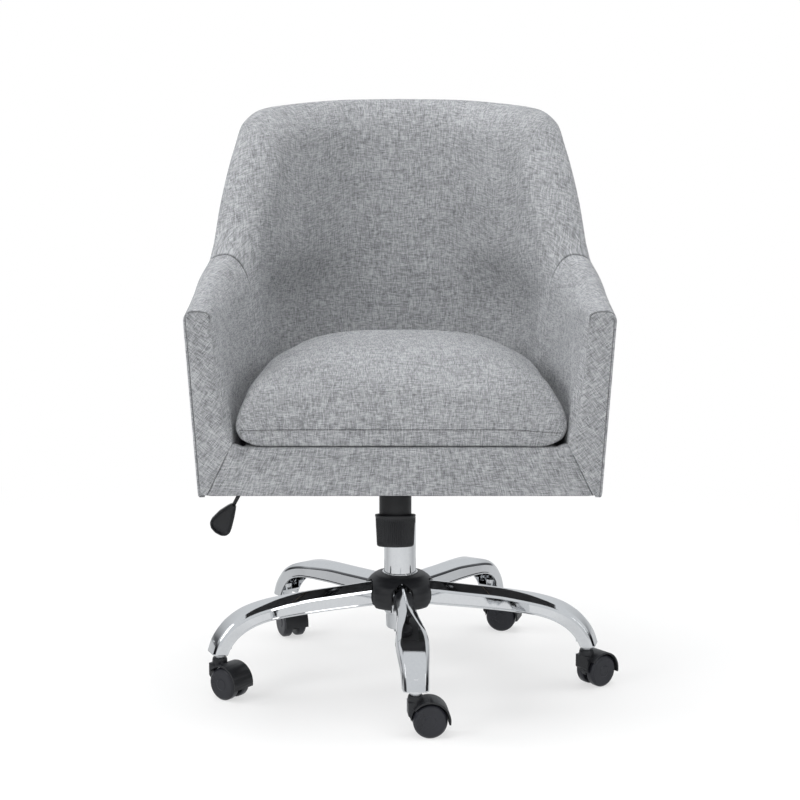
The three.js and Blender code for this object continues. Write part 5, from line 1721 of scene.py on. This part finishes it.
def lever():
    p, e = rod_path()
    n, r = 24, 3.0
    rings = []
    for i, (x, z) in enumerate(p):
        q, w = p[min(i + 1, len(p) - 1)], p[max(0, i - 1)]
        t = np.array([q[0] - w[0], q[1] - w[1]])
        t /= np.linalg.norm(t)
        rr = r if i < len(p) - 1 else r - 0.6
        rings.append([(x + rr * math.sin(a) * t[1], 6 + rr * math.cos(a), z - rr * math.sin(a) * t[0]) for a in np.linspace(0, 2 * math.pi, n + 1)[:-1]])
    V = np.array(rings).reshape(-1, 3)
    F = grid(len(rings), n, cv=True) + [tuple(range(n)), tuple(range((len(rings) - 1) * n, len(rings) * n))]
    up = prism([(-27, 313), (-22, 313), (-22, 328.3), (-27, 328.3)], 3.4, 8.6, "y")
    tongue = prism([(-27, 325.2), (6, 325.2), (6, 328.3), (-27, 328.3)], -5, 8.6, "y")
    b = combine((V, F), [("UNION", *up), ("UNION", *tongue)])
    me = take(softened(b, 0.0), 40)
    finish_piece("lever_shaft", me, POWDER, "lever", ("lever_rod",))
    # grip: drop outline with a raised rim round a shallow dished face
    f = (e[0] - 46 * math.cos(rad(62)), e[1] - 46 * math.sin(rad(62)))
    ee = (f[0] + 11 * math.cos(rad(62)), f[1] + 11 * math.sin(rad(62)))
    d = np.array([f[0] - ee[0], f[1] - ee[1]])
    d /= np.linalg.norm(d)
    o = [(-26.5, -5.2), (-22, -6.6), (-10, -9.6), (2, -13.2), (14, -17.2), (22, -19.4), (29, -18.4), (35, -13.6), (38.6, -6), (39.4, 2), (37, 9), (31.5, 13.6), (24, 14.6), (14, 12.8), (2, 9.8), (-10, 7.0), (-22, 5.2), (-26.5, 4.4)]
    base = [(3.4, -4.4), (9, -8.3), (22, -15.6), (38, -20.5), (46, -20.5), (53, -14.5), (56.5, -5), (56.5, 5), (53, 12.5), (46, 15.5), (38, 14.4), (22, 10.5), (9, 6.6), (3.4, 4.2)]
    pts = np.array(fillet(base, [1.5, 12, 20, 8, 10, 9, 9, 9, 9, 10, 12, 20, 12, 1.5], 6))
    pts = resample(pts, 150)
    P = np.stack([ee[0] + d[0] * (pts[:, 0] + 2) - d[1] * pts[:, 1], ee[1] + d[1] * (pts[:, 0] + 2) + d[0] * pts[:, 1]], -1)
    area = np.sum(P[:, 0] * np.roll(P[:, 1], -1) - np.roll(P[:, 0], -1) * P[:, 1])
    tan = np.roll(P, -1, 0) - np.roll(P, 1, 0)
    tan /= np.linalg.norm(tan, axis=1)[:, None]
    nor = np.stack([-tan[:, 1], tan[:, 0]], -1) * (1 if area > 0 else -1)
    spine_t = np.clip(pts[:, 0], 13, 44)
    sp = np.stack([ee[0] + d[0] * (spine_t + 2) + d[1] * 2.0 * np.clip((spine_t - 5) / 40, 0, 1), ee[1] + d[1] * (spine_t + 2) - d[0] * 2.0 * np.clip((spine_t - 5) / 40, 0, 1)], -1)
    rings = []
    small = np.clip((pts[:, 0] - 3.4) / 14, 0.25, 1)

    def ringp(ins, y):
        q = P + nor * (ins * small)[:, None]
        return [(a, y if not hasattr(y, "__len__") else y[i], b) for i, (a, b) in enumerate(q)]

    def toward(k, y):
        q = P + nor * (3.9 * small)[:, None]
        q = q + (sp - q) * k
        return [(a, y if not hasattr(y, "__len__") else y[i], b) for i, (a, b) in enumerate(q)]
    rings += [toward(k, y) for k, y in ((0.985, 4.2), (0.7, 4.0), (0.4, 3.5), (0.15, 2.8), (0.0, 2.2))]
    rings += [ringp(i, y) for i, y in ((3.3, 1.2), (2.9, 0.45), (2.4, 0.1), (1.8, 0.0), (1.2, 0.15), (0.6, 0.7), (0.15, 1.6), (0.0, 2.7), (0.0, 9.0), (0.2, 10.1), (0.7, 11.1), (1.6, 11.8), (2.8, 12.0))]
    rings += [toward(k, 12.0) for k in (0.1, 0.5, 0.985)]
    m = 150
    V = np.array(rings).reshape(-1, 3)
    F = grid(len(rings), m, cv=True) + [tuple(range(m)), tuple(range((len(rings) - 1) * m, len(rings) * m))]
    piece("lever_grip", V, F, PLASTIC, "lever", ("lever_paddle",), sharp=60)


lever()

# --------------------------------------- CAD nodes that stay as they are
KEEP = {"black_steel": POWDER, "zinc_steel": ZINC, "plywood": PLY, "chrome": CHROME, "black_plastic": PLASTIC, "wheel_plastic": NYLON}
for n, o in NODES.items():
    if o.hide_render:
        continue
    sl = next((s["material_slot"] for s in frame["record"].get("subparts", []) if s.get("node") == n), None)
    o.data.materials.clear()
    o.data.materials.append(KEEP.get(sl, POWDER))
    for f in o.data.polygons:
        f.material_index = 0

# ------------------------------------------------- floor, light, camera
sc = bpy.context.scene
bpy.ops.mesh.primitive_plane_add(size=30, location=(0, 0, -0.0005))
floor = bpy.context.object
floor.name = "floor"
fm, fnt, fb = mat_new("pale_floor", (0.90, 0.90, 0.90), 0.8)
fb.inputs["Specular IOR Level"].default_value = 0.1
# the floor runs seamlessly into the pale background further away
fgeo = N(fnt, "ShaderNodeNewGeometry")
flen = N(fnt, "ShaderNodeVectorMath", operation="LENGTH")
fnt.links.new(fgeo.outputs["Position"], flen.inputs[0])
far = math_node(fnt, "DIVIDE", math_node(fnt, "SUBTRACT", flen.outputs["Value"], 0.55), 1.1, clamp=True)
far = math_node(fnt, "MULTIPLY", math_node(fnt, "MULTIPLY", far, far), math_node(fnt, "SUBTRACT", 3.0, math_node(fnt, "MULTIPLY", far, 2.0)))
mixf = math_node(fnt, "ADD", math_node(fnt, "MULTIPLY", far, 0.42), 0.58)
glow = N(fnt, "ShaderNodeEmission")
glow.inputs[0].default_value = (1, 1, 1, 1)
glow.inputs[1].default_value = 1.0
fmix = N(fnt, "ShaderNodeMixShader")
flp = N(fnt, "ShaderNodeLightPath")
# painted reflection: to glossy rays the floor mostly shows grey emission, darker in a band a little behind the sides,
# instead of its lit surface
painted_floor_reflection = N(fnt, "ShaderNodeEmission")
fps = N(fnt, "ShaderNodeSeparateXYZ")
fnt.links.new(fgeo.outputs["Position"], fps.inputs[0])
faz = math_node(fnt, "ABSOLUTE", math_node(fnt, "ARCTAN2", math_node(fnt, "ADD", fps.outputs[0], -CX / 1000), math_node(fnt, "MULTIPLY", fps.outputs[1], -1.0)))
fnt.links.new(ramp(fnt, math_node(fnt, "DIVIDE", faz, math.pi), [(0.0, (0.67, 0.685, 0.70)), (0.34, (0.58, 0.595, 0.61)), (0.58, (0.34, 0.35, 0.365)), (0.74, (0.50, 0.515, 0.53)), (1.0, (0.66, 0.675, 0.69))]), painted_floor_reflection.inputs[0])
gmix = N(fnt, "ShaderNodeMixShader")
fnt.links.new(math_node(fnt, "MULTIPLY", flp.outputs["Is Glossy Ray"], 0.8), gmix.inputs[0])
fnt.links.new(fb.outputs[0], gmix.inputs[1])
fnt.links.new(painted_floor_reflection.outputs[0], gmix.inputs[2])
fnt.links.new(math_node(fnt, "MULTIPLY", mixf, flp.outputs["Is Camera Ray"]), fmix.inputs[0])
fnt.links.new(gmix.outputs[0], fmix.inputs[1])
fnt.links.new(glow.outputs[0], fmix.inputs[2])
fout = next(n for n in fnt.nodes if n.type == "OUTPUT_MATERIAL")
fnt.links.new(fmix.outputs[0], fout.inputs[0])
floor.data.materials.append(fm)

w = bpy.data.worlds.new("studio")
sc.world = w
w.use_nodes = True
nt = w.node_tree
for n in list(nt.nodes):
    nt.nodes.remove(n)
out = N(nt, "ShaderNodeOutputWorld")
tc = N(nt, "ShaderNodeTexCoord")
sepw = N(nt, "ShaderNodeSeparateXYZ")
nt.links.new(tc.outputs["Generated"], sepw.inputs[0])
X, Y, Z = sepw.outputs
# a bright ceiling and side walls, with darker stretches between them for the bright metal to reflect
azim = math_node(nt, "ARCTAN2", X, math_node(nt, "MULTIPLY", Y, -1.0))
band = math_node(nt, "SUBTRACT", 0.5, math_node(nt, "MULTIPLY", math_node(nt, "COSINE", math_node(nt, "MULTIPLY", azim, 2.0)), 0.5))
low = math_node(nt, "SUBTRACT", 1.0, math_node(nt, "MULTIPLY", math_node(nt, "ABSOLUTE", math_node(nt, "SUBTRACT", Z, 0.10)), 2.6), clamp=True)
dark = math_node(nt, "MULTIPLY", math_node(nt, "MULTIPLY", low, band), 1.35, clamp=True)
gl = ramp(nt, dark, [(0.0, (0.66, 0.68, 0.70)), (0.3, (0.50, 0.515, 0.53)), (0.62, (0.13, 0.133, 0.14)), (1.0, (0.012, 0.012, 0.014))])
bg_gloss = N(nt, "ShaderNodeBackground")
bg_gloss.inputs[1].default_value = 1.0
nt.links.new(gl, bg_gloss.inputs[0])
bg_soft = N(nt, "ShaderNodeBackground")
bg_soft.inputs[0].default_value = (0.97, 0.985, 1.0, 1)
bg_soft.inputs[1].default_value = 0.20
bg_cam = N(nt, "ShaderNodeBackground")
bg_cam.inputs[0].default_value = (1, 1, 1, 1)
bg_cam.inputs[1].default_value = 1.0
lp = N(nt, "ShaderNodeLightPath")
m1 = N(nt, "ShaderNodeMixShader")
nt.links.new(lp.outputs["Is Glossy Ray"], m1.inputs[0])
nt.links.new(bg_soft.outputs[0], m1.inputs[1])
nt.links.new(bg_gloss.outputs[0], m1.inputs[2])
m2 = N(nt, "ShaderNodeMixShader")
nt.links.new(lp.outputs["Is Camera Ray"], m2.inputs[0])
nt.links.new(m1.outputs[0], m2.inputs[1])
nt.links.new(bg_cam.outputs[0], m2.inputs[2])
nt.links.new(m2.outputs[0], out.inputs[0])


def area(name, loc, target, size, power, color=(1, 1, 1), shine=False):
    d = bpy.data.lights.new(name, "AREA")
    d.shape = "RECTANGLE"
    d.size, d.size_y = size
    d.energy = power
    d.color = color
    o = bpy.data.objects.new(name, d)
    ROOT.objects.link(o)
    o.location = loc
    o.rotation_mode = "QUATERNION"
    o.rotation_quaternion = (Vector(target) - Vector(loc)).to_track_quat("-Z", "Y")
    o.visible_camera = False
    o.visible_glossy = shine
    return o


area("top_soft", (0.0, 0.10, 3.2), (0, 0, 0.4), (2.4, 2.0), 70)
area("side_left", (-3.2, 0.2, 1.9), (0, 0, 0.6), (1.6, 1.4), 46)
area("side_right", (3.2, 0.2, 1.9), (0, 0, 0.6), (1.6, 1.4), 26)
area("key_left", (-2.9, -2.1, 1.9), (0, 0, 0.5), (1.6, 1.6), 50)
area("front_soft", (0.3, -4.2, 2.4), (0, 0, 0.5), (3.2, 2.0), 54)
area("fill_right", (2.9, -2.0, 1.6), (0, 0, 0.5), (1.5, 1.8), 16)
area("back_rim", (0.2, 2.8, 2.2), (0, 0, 0.5), (2.4, 1.4), 14)
area("glint_left", (-2.2, -1.6, 2.0), (0, 0, 0.3), (0.5, 1.6), 5, shine=True)
area("glint_right", (1.9, -2.0, 1.4), (0, 0, 0.3), (0.4, 1.4), 4, shine=True)

cam = bpy.data.cameras.new("camera")
cam.sensor_width = 36.0
cam.lens = 88.09
cam.clip_start, cam.clip_end = 0.05, 200
co = bpy.data.objects.new("camera", cam)
ROOT.objects.link(co)
co.location = (CX / 1000, -3.0 + CY / 1000, 0.9484)
co.rotation_euler = (rad(90 - 9.62), 0, 0)
sc.camera = co
sc.view_settings.view_transform = "Standard"
sc.view_settings.look = "None"

for m in list(bpy.data.meshes):
    if m.users == 0:
        bpy.data.meshes.remove(m)
bpy.context.view_layer.update()
